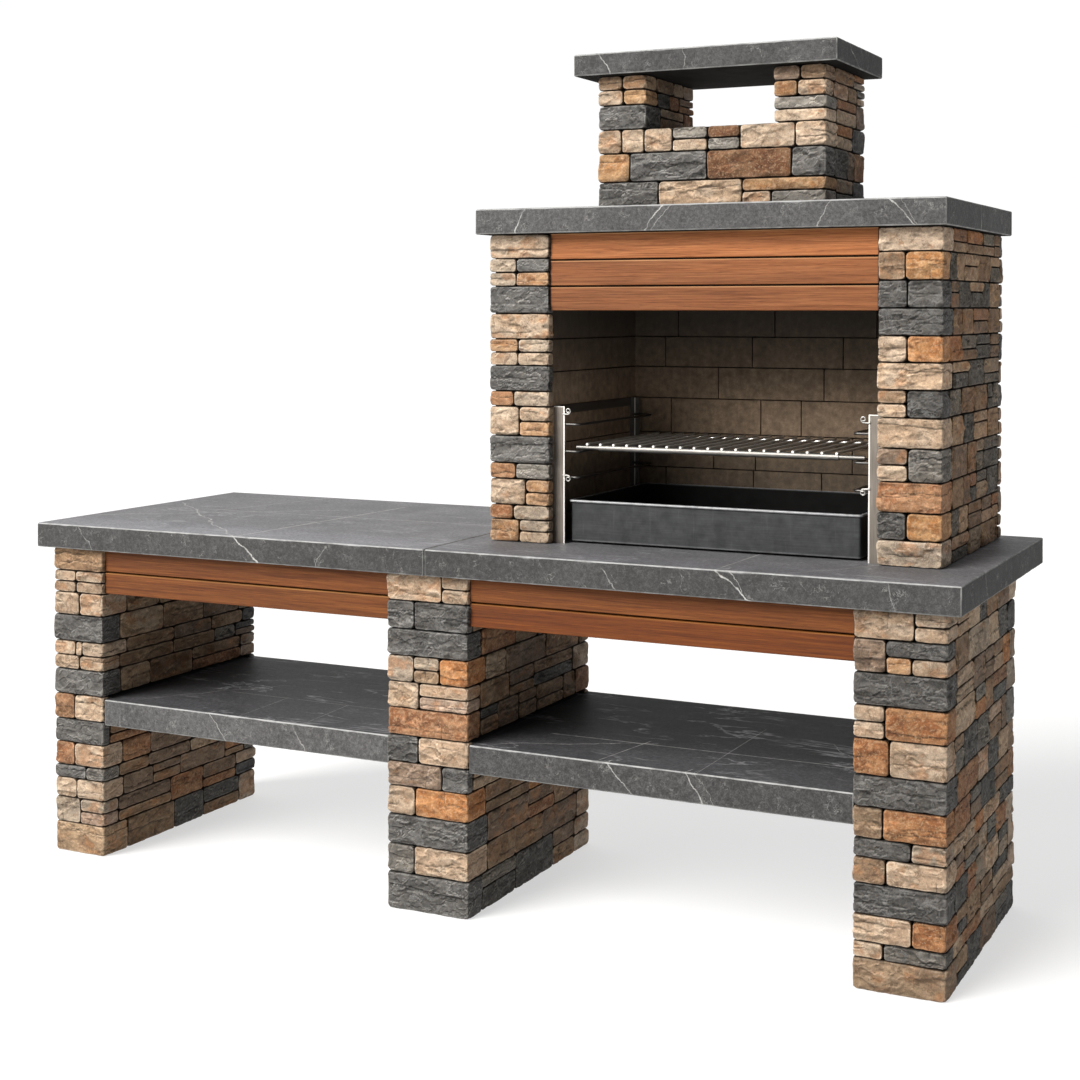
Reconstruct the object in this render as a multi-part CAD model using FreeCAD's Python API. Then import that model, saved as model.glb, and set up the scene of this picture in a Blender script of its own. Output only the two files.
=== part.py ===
import FreeCAD, Part
import math
import os

# Free-standing masonry barbecue: three stone-faced legs, two shelves, a two-piece
# worktop, a stone-faced firebox with a refractory lining, a mantle slab and a
# chimney.  A grate and an ember tray slide in the firebox.
# Millimetres, +Z up, front faces -Y, origin under the middle of the worktop.

V = FreeCAD.Vector

# ---------------------------------------------------------------- dimensions
TOP_L = 2374.0          # worktop length
TOP_D = 842.0           # worktop depth
TOP_Z = 850.0           # worktop height
TOP_T = 62.0            # worktop thickness
TOP_JOINT = 1147.0      # butt joint between the two worktop slabs
LEG_X = ((30.0, 187.0), (1032.0, 1245.0), (2147.0, 2341.0))
LEG_Y = (28.0, 686.0)
LEG_Z = TOP_Z - TOP_T
STONE_T = 26.0          # thickness of the stone facing on legs and firebox
SHELF_Z = 403.0
SHELF_T = 66.0
SHELF_Y = (34.0, 678.0)
TENON_Y = (62.0, 648.0)     # part of a shelf that is let into a leg
TENON_D = 46.0              # depth of that part behind the leg's face
FASCIA_Y = 40.0             # front face of the lower fascia boards
FASCIA_T = 20.0
FASCIA_Z = (674.0, 727.0, 731.0)    # bottom, top of lower board, bottom of upper board
LINTEL_Y = (60.0, 130.0)
LINTEL_Z = 676.0
FB_X = (1209.0, 2284.0)     # firebox outside
FB_Y = (205.0, 790.0)
FB_IN = (1364.0, 2144.0)    # firebox inside, between lining faces
FB_BACK = 714.0             # face of the back lining
FB_TOP = 1573.0
LINE_T = 24.0               # lining thickness at the sides
LINE_TB = 22.0              # lining thickness at the back
LINE_TOP = 1405.0
LINE_GAP = 3.0
LINE_ROWS = (850.0, 916.0, 994.0, 1083.0, 1171.0, 1251.0, 1328.0, 1405.0)
MANTLE_X = (1188.0, 2298.0)
MANTLE_Y = (172.0, 825.0)
MANTLE_Z = (1573.0, 1632.0)
MB_Y = 214.0                # front face of the mantle fascia boards
MB_Z = ((1395.0, 1449.0), (1453.0, 1510.0), (1514.0, 1573.0))
CH_X = (1466.0, 2012.0)     # chimney outside
CH_Y = (258.0, 557.0)
CH_PIER = 120.0             # width of each chimney pier
CH_LOW = 1811.0             # top of the low walls
CH_TOP = 1935.0
CH_T = 24.0                 # stone facing on the chimney
CH_WALL = 70.0              # thickness of the low walls
CAP_X = (1418.0, 2046.0)
CAP_Y = (226.0, 585.0)
CAP_Z = (1935.0, 1985.0)
EDGE_R = 4.0                # eased slab edges
UP_W = 27.0                 # uprights: angle section, leg width and thickness
UP_T = 3.0
UP_Z = (850.0, 1171.0)
UP_YF = 235.0
UP_YR = 680.0
WIRE = 6.0                  # bracket wire
WIRE_Z = (1005.0, 1065.5, 1129.0)   # wire axis at each level
WIRE_IN = 61.0              # wire run, inboard of the lining
GR_X = (1408.0, 2100.0)     # grate
GR_Y = (268.0, 688.0)
GR_Z = 1074.0               # axis of the front rod and rear bar
GR_BAR = 10.0
GR_TUBE = 15.0
GR_TUBE_X = (1466.0, 2042.0)
GR_ROD = 6.0
GR_N = 19
GR_ROD_X = (1437.0, 2038.0)   # first and last grill rod
TR_X = (1400.0, 2096.0)     # ember tray
TR_Y = (252.0, 702.0)
TR_Z = (855.0, 952.0)
TR_T = 2.0
TR_RIM = 5.0
FOOT_GAP = 0.4              # running clearance under the tray feet
GAP = 3.0                   # joint between stones

OX, OY = TOP_L / 2.0, TOP_D / 2.0

os.makedirs("parts", exist_ok=True)


def box(x0, x1, y0, y1, z0, z1):
    return Part.makeBox(x1 - x0, y1 - y0, z1 - z0, V(x0 - OX, y0 - OY, z0))


def cyl(p, d, dia, length):
    return Part.makeCylinder(dia / 2.0, length, V(p[0] - OX, p[1] - OY, p[2]), V(*d))


def save(name, shapes):
    if isinstance(shapes, (list, tuple)):
        shape = shapes[0] if len(shapes) == 1 else Part.makeCompound(list(shapes))
    else:
        shape = shapes
    for s in shape.Solids:
        if not s.isValid() or s.Volume <= 0:
            print("BAD SOLID in", name)
    shape.exportStep("parts/" + name + ".step")
    print(name, len(shape.Solids), "solids", round(shape.Volume / 1000.0, 1), "cm3")


def eased(shape, r):
    """Round the outer horizontal and vertical edges of a slab."""
    return shape.makeFillet(r, shape.Edges)


def hexa(low, high):
    """Solid between two quadrilaterals, both listed the same way round."""
    a = [V(p[0] - OX, p[1] - OY, p[2]) for p in low]
    b = [V(p[0] - OX, p[1] - OY, p[2]) for p in high]
    faces = [Part.Face(Part.makePolygon(a + [a[0]])), Part.Face(Part.makePolygon(b + [b[0]]))]
    for i in range(4):
        j = (i + 1) % 4
        faces.append(Part.Face(Part.makePolygon([a[i], a[j], b[j], b[i], a[i]])))
    s = Part.makeSolid(Part.makeShell(faces))
    if s.Volume < 0:
        s.reverse()
    return s


# ------------------------------------------------------- split-stone facing
# A facing is laid in courses.  Every stone is a prism that follows the wall's
# face; corner stones turn the corner with a return.

class Rng:
    def __init__(self, seed):
        self.s = (seed * 2654435761 + 97531) & 0xFFFFFFFF
        for _ in range(4):
            self.r()

    def r(self):
        self.s = (1664525 * self.s + 1013904223) & 0xFFFFFFFF
        return (self.s >> 8) / 16777216.0

    def u(self, a, b):
        return a + (b - a) * self.r()

    def pick(self, text):
        return text[int(self.r() * len(text)) % len(text)]


def zrows(marks, z_top, z_bot):
    m0, m1 = marks[0], marks[-1]
    return [z_top + (m - m0) * (z_bot - z_top) / float(m1 - m0) for m in marks]


def frame_of(face, x0, x1, y0, y1):
    return {"F": ((x0, y0), (1, 0), (0, 1)), "R": ((x1, y0), (0, 1), (-1, 0)),
            "B": ((x1, y1), (-1, 0), (0, -1)), "L": ((x0, y1), (0, -1), (1, 0))}[face]


def cells(u0, u1, za, zb, cols):
    """Cut one course into (u0, u1, z_low, z_high, code) cells."""
    out = []
    start = u0
    for frac, what in cols:
        end = u0 + (u1 - u0) * frac
        n = len(what)
        for k in range(n):
            top = za + (zb - za) * k / n
            low = za + (zb - za) * (k + 1) / n
            if isinstance(what, str):
                out.append((start, end, low, top, what[k]))
            else:
                out.extend(cells(start, end, top, low, what[k]))
        start = end
    return out


def put(out, wall, fr, t, path, z0, z1, code):
    o, u, w = fr
    pts = [(o[0] + u[0] * a + w[0] * b, o[1] + u[1] * a + w[1] * b) for a, b in path]
    out.append({"wall": wall, "path": pts, "t": t, "z0": z0, "z1": z1, "code": code})


def lay_face(out, wall, fr, width, t, zb, rows, ret_l, ret_r):
    """Courses with corner stones at both ends; ret_* are return lengths per course."""
    for i, cols in enumerate(rows):
        for (u0, u1, low, top, code) in cells(0.0, width, zb[i], zb[i + 1], cols):
            path = []
            if u0 < 0.5:
                if ret_l[i] > 0:
                    path.append((0.0, ret_l[i]))
                path.append((0.0, 0.0))
            else:
                path.append((u0 + GAP / 2, 0.0))
            if u1 > width - 0.5:
                path.append((width, 0.0))
                if ret_r[i] > 0:
                    path.append((width, ret_r[i]))
            else:
                path.append((u1 - GAP / 2, 0.0))
            put(out, wall, fr, t, path, low + GAP / 2, top - GAP / 2, code)


def lay_side(out, wall, fr, width, t, zb, start, stop, rng, palette, lmin, lmax, keepouts):
    """Courses between the returns of the two neighbouring faces."""
    last = ""
    for i in range(len(zb) - 1):
        a = start[i] + GAP
        b = width - stop[i] - GAP
        u = a
        while b - u > 1.0:
            step = rng.u(lmin, lmax)
            if b - u - step < lmin * 0.8:
                step = b - u
            code = rng.pick(palette)
            if code == last:
                code = rng.pick(palette)
            last = code
            high = zb[i] - zb[i + 1]
            if high > 48.0 and rng.r() < 0.42:
                cut = rng.u(0.38, 0.62)
                mid = zb[i] - high * cut
                bits = [(zb[i], mid, code), (mid, zb[i + 1], rng.pick(palette))]
            else:
                bits = [(zb[i], zb[i + 1], code)]
            for top, low, c in bits:
                rects = [(u, u + step, low, top)]
                for (k0, k1, kl, kh) in keepouts:
                    cut_rects = []
                    for (r0, r1, rl, rh) in rects:
                        if r1 <= k0 or r0 >= k1 or rh <= kl or rl >= kh:
                            cut_rects.append((r0, r1, rl, rh))
                            continue
                        if r0 < k0:
                            cut_rects.append((r0, k0, rl, rh))
                        if r1 > k1:
                            cut_rects.append((k1, r1, rl, rh))
                        m0, m1 = max(r0, k0), min(r1, k1)
                        if rl < kl:
                            cut_rects.append((m0, m1, rl, kl))
                        if rh > kh:
                            cut_rects.append((m0, m1, kh, rh))
                    rects = cut_rects
                for (r0, r1, rl, rh) in rects:
                    if r1 - r0 < 20.0 or rh - rl < 14.0:
                        continue
                    put(out, wall, fr, t, [(r0 + GAP / 2, 0.0), (r1 - GAP / 2, 0.0)],
                        rl + GAP / 2, rh - GAP / 2, c)
            u += step


def random_rows(n, rng, palette, width, lmin, lmax):
    rows = []
    for i in range(n):
        cols = []
        u = 0.0
        while u < width - 1.0:
            step = rng.u(lmin, lmax)
            if width - u - step < lmin * 0.8:
                step = width - u
            u += step
            c = rng.pick(palette)
            if rng.r() < 0.3:
                c += rng.pick(palette)
            cols.append((min(1.0, u / width), c))
        rows.append(cols)
    return rows


def overlaps(za, zb, spans):
    return any(min(za, zb) < h and max(za, zb) > l for (l, h) in spans)


# Courses of each front, from the top down.  Letters are stone colours:
# b beige, t tan, p pinkish tan, y grey-tan, g grey, o orange, r rust, n brown,
# k brown-grey, d dark slate.  Two letters are two thin stones, one on the other.
LEG_ROWS = (
    ((50, 155, 255, 358, 478, 543, 608, 722, 838, 945, 1050, 1110, 1200, 1315, 1450),
     [[(1, "n")], [(.45, "tt"), (1, "tt")], [(.52, "t"), (1, "t")], [(1, "d")],
      [(.44, "t"), (.57, "t"), (1, "b")], [(.51, "t"), (1, "b")], [(1, "d")],
      [(.41, "r"), (1, "t")], [(1, "d")], [(.40, "r"), (1, "t")], [(.63, "d"), (1, "g")],
      [(.44, "t"), (1, "t")], [(.51, "y"), (1, "yp")], [(1, "t")]]),
    ((75, 190, 308, 420, 530, 640, 755, 868, 970, 1090, 1215, 1335, 1490),
     [[(.68, "b"), (1, "tt")], [(.335, "d"), (1, "d")], [(1, "d")],
      [(.33, "y"), (.65, "yn"), (1, "o")], [(.395, "b"), (1, "tp")], [(1, "r")],
      [(.385, "d"), (1, "t")], [(.68, "y"), (1, "g")], [(.345, "t"), (1, "o")], [(1, "d")],
      [(.335, "g"), (1, "o")], [(1, "k")]]),
    ((178, 278, 390, 500, 612, 735, 842, 948, 1012, 1100, 1205, 1297, 1352, 1460),
     [[(.645, "b"), (1, "tb")], [(.345, "k"), (1, [[(1, "d")], [(.42, "o"), (1, "b")]])],
      [(1, "d")], [(.335, "tt"), (1, "o")], [(.385, "r"), (1, "b")], [(1, "d")],
      [(.32, "n"), (1, "o")], [(.625, "d"), (1, "y")], [(.355, "n"), (1, "t")], [(1, "d")],
      [(.635, "t"), (1, "r")], [(.33, "t"), (1, "g")], [(1, "t")]]),
)
FBL_ROWS = ((90, 200, 326, 451, 567, 688, 805, 875, 1010, 1135, 1208, 1327, 1394, 1498),
            [[(1, "b")], [(.45, "yy"), (1, "do")], [(1, "d")], [(1, "b")], [(.48, "ot"), (1, "yt")],
             [(1, "d")], [(.41, "r"), (1, "y")], [(.5, "t"), (1, "to")], [(1, "d")],
             [(.44, "r"), (1, "g")], [(.61, "b"), (1, "oo")], [(.4, "r"), (1, "y")],
             [(.5, "o"), (1, "yb")]])
FBR_ROWS = ((226, 251, 280, 308, 336, 363, 391, 419, 450, 484, 515, 543, 570),
            [[(1, "b")], [(.42, "n"), (1, "o")], [(.45, "d"), (1, "d")], [(1, "d")],
             [(.45, "b"), (1, "o")], [(1, "b")], [(.45, "nt"), (1, "d")], [(1, "b")],
             [(.47, "kt"), (1, "g")], [(1, "o")], [(.45, "d"), (1, "o")], [(1, "y")]])
CH_ZB = (1935.0, 1902.0, 1867.0, 1811.0, 1756.0, 1690.0, 1632.0)
CH_LOW_ROWS = [
    [(.107, "b"), (.21, "t"), (.337, "t"), (.493, "gt"), (.635, "rg"), (.87, "t"), (1, "b")],
    [(.145, "o"), (.49, "d"), (.855, "r"), (1, "d")],
    [(.275, "d"), (.645, "b"), (1, [[(1, "o")], [(.35, "t"), (1, "g")]])]]
CH_LEFT_ROWS = [[(.5, "n"), (1, "n")], [(.52, "b"), (1, "o")], [(1, "d")]]
CH_RIGHT_ROWS = [[(.5, "k"), (1, "n")], [(.45, "o"), (1, "b")], [(1, "gt")]]
PALETTE = "tttttnnnddddrrobbyyggkp"


def stone_layout():
    out = []
    # legs, faced on all four sides
    names = ("left_leg_stones", "centre_leg_stones", "right_leg_stones")
    for i in range(3):
        x0, x1 = LEG_X[i]
        y0, y1 = LEG_Y
        rng = Rng(101 + 17 * i)
        zb = zrows(LEG_ROWS[i][0], LEG_Z - 1.0, 0.0)
        zb = [z if 0 < k < len(zb) - 1 else (z + GAP / 2 if k == 0 else z - GAP / 2)
              for k, z in enumerate(zb)]
        n = len(zb) - 1
        # shelf and lintel ends pass through the facing of the inner sides
        spans = [(SHELF_Z - SHELF_T - 2, SHELF_Z + 2), (LINTEL_Z - 2, LEG_Z)]
        inner_l, inner_r = i > 0, i < 2
        ret_l, ret_r, back_l, back_r = [], [], [], []
        for k in range(n):
            hit = overlaps(zb[k], zb[k + 1], spans)
            a, b, c, d = rng.u(58, 98), rng.u(58, 98), rng.u(50, 95), rng.u(50, 95)
            ret_l.append(STONE_T if (inner_l and hit) else a)
            ret_r.append(STONE_T if (inner_r and hit) else b)
            low_hit = overlaps(zb[k], zb[k + 1], spans[:1])
            back_r.append(STONE_T if (inner_l and low_hit) else c)   # back face, its right end
            back_l.append(STONE_T if (inner_r and low_hit) else d)
        w, dep = x1 - x0, y1 - y0
        lay_face(out, names[i], frame_of("F", x0, x1, y0, y1), w, STONE_T, zb, LEG_ROWS[i][1], ret_l, ret_r)
        lay_face(out, names[i], frame_of("B", x0, x1, y0, y1), w, STONE_T, zb,
                 random_rows(n, rng, PALETTE, w, 70, 200), back_l, back_r)
        # keep-outs are (y from the front, z)
        keep = [(TENON_Y[0] - 2 - y0, TENON_Y[1] + 2 - y0, SHELF_Z - SHELF_T - 2, SHELF_Z + 2),
                (LINTEL_Y[0] - 2 - y0, LINTEL_Y[1] + 2 - y0, LINTEL_Z - 2, LEG_Z + 5)]
        lo, hi = (90, 240) if inner_r else (60, 190)
        lay_side(out, names[i], frame_of("R", x0, x1, y0, y1), dep, STONE_T, zb, ret_r, back_l, rng,
                 PALETTE, lo, hi, keep if inner_r else [])
        flip = [(dep - k1, dep - k0, a, b) for (k0, k1, a, b) in keep]
        lay_side(out, names[i], frame_of("L", x0, x1, y0, y1), dep, STONE_T, zb, back_r, ret_l, rng,
                 PALETTE, 90, 240, flip if inner_l else [])
    # firebox: fronts of the two side walls, both outer sides, the back
    x0, x1 = FB_X
    y0, y1 = FB_Y
    rng = Rng(211)
    zl = zrows(FBL_ROWS[0], FB_TOP, TOP_Z)
    zr = zrows(FBR_ROWS[0], FB_TOP, TOP_Z)
    zbk = zrows((0, 10, 21, 31, 42, 54, 64, 74, 86, 97, 108, 120, 131), FB_TOP, TOP_Z)
    nl, nr, nb = len(zl) - 1, len(zr) - 1, len(zbk) - 1
    rl = [rng.u(58, 95) for _ in range(nl)]
    rr = [rng.u(58, 95) for _ in range(nr)]
    thin_l, thin_r = [STONE_T] * nl, [STONE_T] * nr
    lay_face(out, "firebox_left_stones", frame_of("F", x0, FB_IN[0], y0, y1), FB_IN[0] - x0, STONE_T, zl,
             FBL_ROWS[1], rl, thin_l)
    lay_face(out, "firebox_right_stones", frame_of("F", FB_IN[1], x1, y0, y1), x1 - FB_IN[1], STONE_T, zr,
             FBR_ROWS[1], thin_r, rr)
    dep = y1 - y0
    lay_side(out, "firebox_right_stones", frame_of("R", FB_IN[1], x1, y0, y1), dep, STONE_T, zr, rr,
             [STONE_T] * nr, rng, PALETTE, 55, 165, [])
    lay_side(out, "firebox_left_stones", frame_of("L", x0, FB_IN[0], y0, y1), dep, STONE_T, zl,
             [STONE_T] * nl, rl, rng, PALETTE, 55, 165, [])
    lay_face(out, "firebox_back_stones", frame_of("B", x0, x1, y0, y1), x1 - x0, STONE_T - 2.0, zbk,
             random_rows(nb, rng, PALETTE, x1 - x0, 80, 230), [STONE_T - 2.0] * nb, [STONE_T - 2.0] * nb)
    # chimney: low walls all round, then the two piers
    x0, x1 = CH_X
    y0, y1 = CH_Y
    rng = Rng(307)
    w, dep = x1 - x0, y1 - y0
    zlow = list(CH_ZB[3:])
    ra, rb = [rng.u(60, 92) for _ in range(3)], [rng.u(60, 92) for _ in range(3)]
    rc, rd = [rng.u(60, 92) for _ in range(3)], [rng.u(60, 92) for _ in range(3)]
    name = "chimney_stones"
    lay_face(out, name, frame_of("F", x0, x1, y0, y1), w, CH_T, zlow, CH_LOW_ROWS, ra, rb)
    lay_face(out, name, frame_of("B", x0, x1, y0, y1), w, CH_T, zlow,
             random_rows(3, rng, PALETTE, w, 70, 190), rc, rd)
    lay_side(out, name, frame_of("R", x0, x1, y0, y1), dep, CH_T, zlow, rb, rc, rng, PALETTE, 60, 120, [])
    lay_side(out, name, frame_of("L", x0, x1, y0, y1), dep, CH_T, zlow, rd, ra, rng, PALETTE, 60, 120, [])
    zup = list(CH_ZB[:4])
    for px0, px1, rows in ((x0, x0 + CH_PIER, CH_LEFT_ROWS), (x1 - CH_PIER, x1, CH_RIGHT_ROWS)):
        ra, rb = [rng.u(55, 92) for _ in range(3)], [rng.u(55, 92) for _ in range(3)]
        rc, rd = [rng.u(55, 92) for _ in range(3)], [rng.u(55, 92) for _ in range(3)]
        lay_face(out, name, frame_of("F", px0, px1, y0, y1), CH_PIER, CH_T, zup, rows, ra, rb)
        lay_face(out, name, frame_of("B", px0, px1, y0, y1), CH_PIER, CH_T, zup,
                 random_rows(3, rng, PALETTE, CH_PIER, 55, 120), rc, rd)
        lay_side(out, name, frame_of("R", px0, px1, y0, y1), dep, CH_T, zup, rb, rc, rng, PALETTE, 60, 120, [])
        lay_side(out, name, frame_of("L", px0, px1, y0, y1), dep, CH_T, zup, rd, ra, rng, PALETTE, 60, 120, [])
    return out


def stone_solid(st):
    """Prism of one stone: its outer path, the same path set inwards, extruded."""
    pts, t = st["path"], st["t"]
    n = len(pts)
    dirs = []
    for k in range(n - 1):
        dx, dy = pts[k + 1][0] - pts[k][0], pts[k + 1][1] - pts[k][1]
        m = (dx * dx + dy * dy) ** 0.5
        dirs.append((dx / m, dy / m))
    inner = []
    for k in range(n):
        if k == 0:
            nx, ny = -dirs[0][1], dirs[0][0]
        elif k == n - 1:
            nx, ny = -dirs[-1][1], dirs[-1][0]
        else:
            nx, ny = -dirs[k - 1][1] - dirs[k][1], dirs[k - 1][0] + dirs[k][0]
        inner.append((pts[k][0] + nx * t, pts[k][1] + ny * t))
    loop = []
    for p in list(pts) + inner[::-1]:
        if not loop or abs(p[0] - loop[-1][0]) + abs(p[1] - loop[-1][1]) > 0.01:
            loop.append(p)
    if abs(loop[0][0] - loop[-1][0]) + abs(loop[0][1] - loop[-1][1]) < 0.01:
        loop.pop()
    # drop points in line with their neighbours
    clean = []
    m = len(loop)
    for k in range(m):
        a, b, c = loop[k - 1], loop[k], loop[(k + 1) % m]
        cross = (b[0] - a[0]) * (c[1] - b[1]) - (b[1] - a[1]) * (c[0] - b[0])
        if abs(cross) > 0.01:
            clean.append(b)
    vs = [V(p[0] - OX, p[1] - OY, st["z0"]) for p in clean]
    face = Part.Face(Part.makePolygon(vs + [vs[0]]))
    return face.extrude(V(0, 0, st["z1"] - st["z0"]))


groups = {}
for st in stone_layout():
    groups.setdefault(st["wall"], []).append(stone_solid(st))
for name, solids in groups.items():
    save(name, solids)

# --------------------------------------------------------------- legs, shelves
LEGS = ("left_leg_core", "centre_leg_core", "right_leg_core")
for i in range(3):
    x0, x1 = LEG_X[i]
    core = box(x0 + STONE_T, x1 - STONE_T, LEG_Y[0] + STONE_T, LEG_Y[1] - STONE_T, 0.0, LEG_Z)
    pocket = TENON_D - STONE_T
    if i < 2:       # pockets on the right side
        core = core.cut(box(x1 - STONE_T - pocket, x1, TENON_Y[0], TENON_Y[1], SHELF_Z - SHELF_T, SHELF_Z))
        core = core.cut(box(x1 - STONE_T - pocket, x1, LINTEL_Y[0], LINTEL_Y[1], LINTEL_Z, LEG_Z))
    if i > 0:       # pockets on the left side
        core = core.cut(box(x0, x0 + STONE_T + pocket, TENON_Y[0], TENON_Y[1], SHELF_Z - SHELF_T, SHELF_Z))
        core = core.cut(box(x0, x0 + STONE_T + pocket, LINTEL_Y[0], LINTEL_Y[1], LINTEL_Z, LEG_Z))
    save(LEGS[i], core)

for side, (xa, xb) in (("left", (LEG_X[0][1], LEG_X[1][0])), ("right", (LEG_X[1][1], LEG_X[2][0]))):
    slab = box(xa, xb, SHELF_Y[0], SHELF_Y[1], SHELF_Z - SHELF_T, SHELF_Z)
    long_edges = [e for e in slab.Edges if abs(e.Length - (xb - xa)) < 0.01]
    slab = slab.makeFillet(EDGE_R, long_edges)
    slab = slab.fuse(box(xa - TENON_D, xb + TENON_D, TENON_Y[0], TENON_Y[1], SHELF_Z - SHELF_T, SHELF_Z))
    save(side + "_shelf", slab.removeSplitter())
    save(side + "_lintel", box(xa - TENON_D, xb + TENON_D, LINTEL_Y[0], LINTEL_Y[1], LINTEL_Z, LEG_Z))
    for which, (za, zb) in (("lower", (FASCIA_Z[0], FASCIA_Z[1])), ("upper", (FASCIA_Z[2], LEG_Z))):
        board = box(xa, xb, FASCIA_Y, FASCIA_Y + FASCIA_T, za, zb)
        front = [e for e in board.Edges if abs(e.Length - (xb - xa)) < 0.01
                 and e.BoundBox.YMax < FASCIA_Y - OY + 0.01]
        save(side + "_fascia_" + which + "_board", board.makeFillet(2.0, front))

save("left_worktop", eased(box(0.0, TOP_JOINT - 1.0, 0.0, TOP_D, LEG_Z, TOP_Z), EDGE_R))
save("right_worktop", eased(box(TOP_JOINT + 1.0, TOP_L, 0.0, TOP_D, LEG_Z, TOP_Z), EDGE_R))

# ------------------------------------------------------------------- firebox
core_y0, core_y1 = FB_Y[0] + STONE_T, FB_Y[1] - STONE_T + 2.0
lint = (FB_IN[0] - LINE_T - 15.0, FB_IN[1] + LINE_T + 15.0)
LINT_Y = (235.0, 290.0)
LINT_Z = 1408.0
fl = box(FB_X[0] + STONE_T, FB_IN[0] - LINE_T, core_y0, core_y1, TOP_Z, FB_TOP)
fr = box(FB_IN[1] + LINE_T, FB_X[1] - STONE_T, core_y0, core_y1, TOP_Z, FB_TOP)
lintel = box(lint[0], lint[1], LINT_Y[0], LINT_Y[1], LINT_Z, FB_TOP)
save("firebox_left_wall", fl.cut(lintel))
save("firebox_right_wall", fr.cut(lintel))
save("firebox_back_wall", box(FB_IN[0] - LINE_T, FB_IN[1] + LINE_T, FB_BACK + LINE_TB, core_y1, TOP_Z, FB_TOP))
save("firebox_lintel", lintel)
for which, (za, zb) in zip(("bottom", "middle", "top"), MB_Z):
    board = box(FB_IN[0], FB_IN[1], MB_Y, LINT_Y[0], za, zb)
    front = [e for e in board.Edges if abs(e.Length - (FB_IN[1] - FB_IN[0])) < 0.01
             and e.BoundBox.YMax < MB_Y - OY + 0.01]
    save("mantle_fascia_" + which + "_board", board.makeFillet(2.0, front))

# refractory lining, bricks laid in broken bond
BACK_JOINTS = ((1560.0, 1795.0, 2010.0), (1450.0, 1686.0, 1863.0), (1580.0, 1691.0, 1940.0),
               (1464.0, 1705.0, 1810.0, 2040.0), (1592.0, 1868.0), (1448.0, 1682.0, 1916.0),
               (1483.0, 1741.0, 2000.0))
SIDE_JOINTS = ((390.0, 600.0), (470.0,), (330.0, 560.0), (430.0, 640.0), (433.0, 600.0), (340.0, 560.0),
               (423.0, 620.0))
h = LINE_GAP / 2.0
bricks_l, bricks_r, bricks_b = [], [], []
for i in range(len(LINE_ROWS) - 1):
    z0 = LINE_ROWS[i] + (h if i else 0.0)
    z1 = LINE_ROWS[i + 1] - h
    xs = (FB_IN[0],) + BACK_JOINTS[i] + (FB_IN[1],)
    for a, b in zip(xs[:-1], xs[1:]):
        bricks_b.append(box(a + (h if a > FB_IN[0] else 0), b - (h if b < FB_IN[1] else 0),
                            FB_BACK, FB_BACK + LINE_TB, z0, z1))
    ys = (core_y0,) + SIDE_JOINTS[i] + (FB_BACK + LINE_TB,)
    for a, b in zip(ys[:-1], ys[1:]):
        a2, b2 = a + (h if a > core_y0 else 0), b - (h if b < FB_BACK else 0)
        bricks_l.append(box(FB_IN[0] - LINE_T, FB_IN[0], a2, b2, z0, z1))
        bricks_r.append(box(FB_IN[1], FB_IN[1] + LINE_T, a2, b2, z0, z1))
save("lining_left_bricks", bricks_l)
save("lining_right_bricks", bricks_r)
save("lining_back_bricks", bricks_b)

# smoke hood: four mitred plates from the lining up to the flue hole
flue_x = (CH_X[0] + CH_PIER, CH_X[1] - CH_PIER)
flue_y = (CH_Y[0] + CH_WALL, CH_Y[1] - CH_WALL)
HT = 10.0
hz0, hz1 = LINE_TOP - LINE_GAP / 2.0, MANTLE_Z[0]
bi = (FB_IN[0], FB_IN[1], 300.0, FB_BACK)
bo = (bi[0] - HT, bi[1] + HT, bi[2] - HT, bi[3] + HT)
ti = (flue_x[0], flue_x[1], flue_y[0], flue_y[1])
to = (ti[0] - HT, ti[1] + HT, ti[2] - HT, ti[3] + HT)


def plate(i0, i1, o1, o0):
    low = [(bi_o[0], bi_o[1], hz0) for bi_o in (i0[0], i1[0], o1[0], o0[0])]
    high = [(bi_o[0], bi_o[1], hz1) for bi_o in (i0[1], i1[1], o1[1], o0[1])]
    return hexa(low, high)


def corner(ix, iy):
    inner = ((bi[ix], bi[2 + iy]), (ti[ix], ti[2 + iy]))
    outer = ((bo[ix], bo[2 + iy]), (to[ix], to[2 + iy]))
    return inner, outer


c00, c10, c01, c11 = corner(0, 0), corner(1, 0), corner(0, 1), corner(1, 1)
save("hood_front_plate", plate(c00[0], c10[0], c10[1], c00[1]))
save("hood_back_plate", plate(c01[0], c11[0], c11[1], c01[1]))
save("hood_left_plate", plate(c00[0], c01[0], c01[1], c00[1]))
save("hood_right_plate", plate(c10[0], c11[0], c11[1], c10[1]))

mantle = eased(box(MANTLE_X[0], MANTLE_X[1], MANTLE_Y[0], MANTLE_Y[1], MANTLE_Z[0], MANTLE_Z[1]), EDGE_R)
save("mantle_slab", mantle.cut(box(flue_x[0], flue_x[1], flue_y[0], flue_y[1], MANTLE_Z[0] - 1, MANTLE_Z[1] + 1)))

# ------------------------------------------------------------------- chimney
cz0 = MANTLE_Z[1]
cy0, cy1 = CH_Y[0] + CH_T, CH_Y[1] - CH_T
cl = box(CH_X[0] + CH_T, flue_x[0], cy0, cy1, cz0, CH_LOW).fuse(
    box(CH_X[0] + CH_T, flue_x[0] - CH_T, cy0, cy1, cz0, CH_TOP)).removeSplitter()
cr = box(flue_x[1], CH_X[1] - CH_T, cy0, cy1, cz0, CH_LOW).fuse(
    box(flue_x[1] + CH_T, CH_X[1] - CH_T, cy0, cy1, cz0, CH_TOP)).removeSplitter()
save("chimney_left_wall", cl)
save("chimney_right_wall", cr)
save("chimney_front_wall", box(flue_x[0], flue_x[1], cy0, flue_y[0], cz0, CH_LOW))
save("chimney_back_wall", box(flue_x[0], flue_x[1], flue_y[1], cy1, cz0, CH_LOW))
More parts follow.
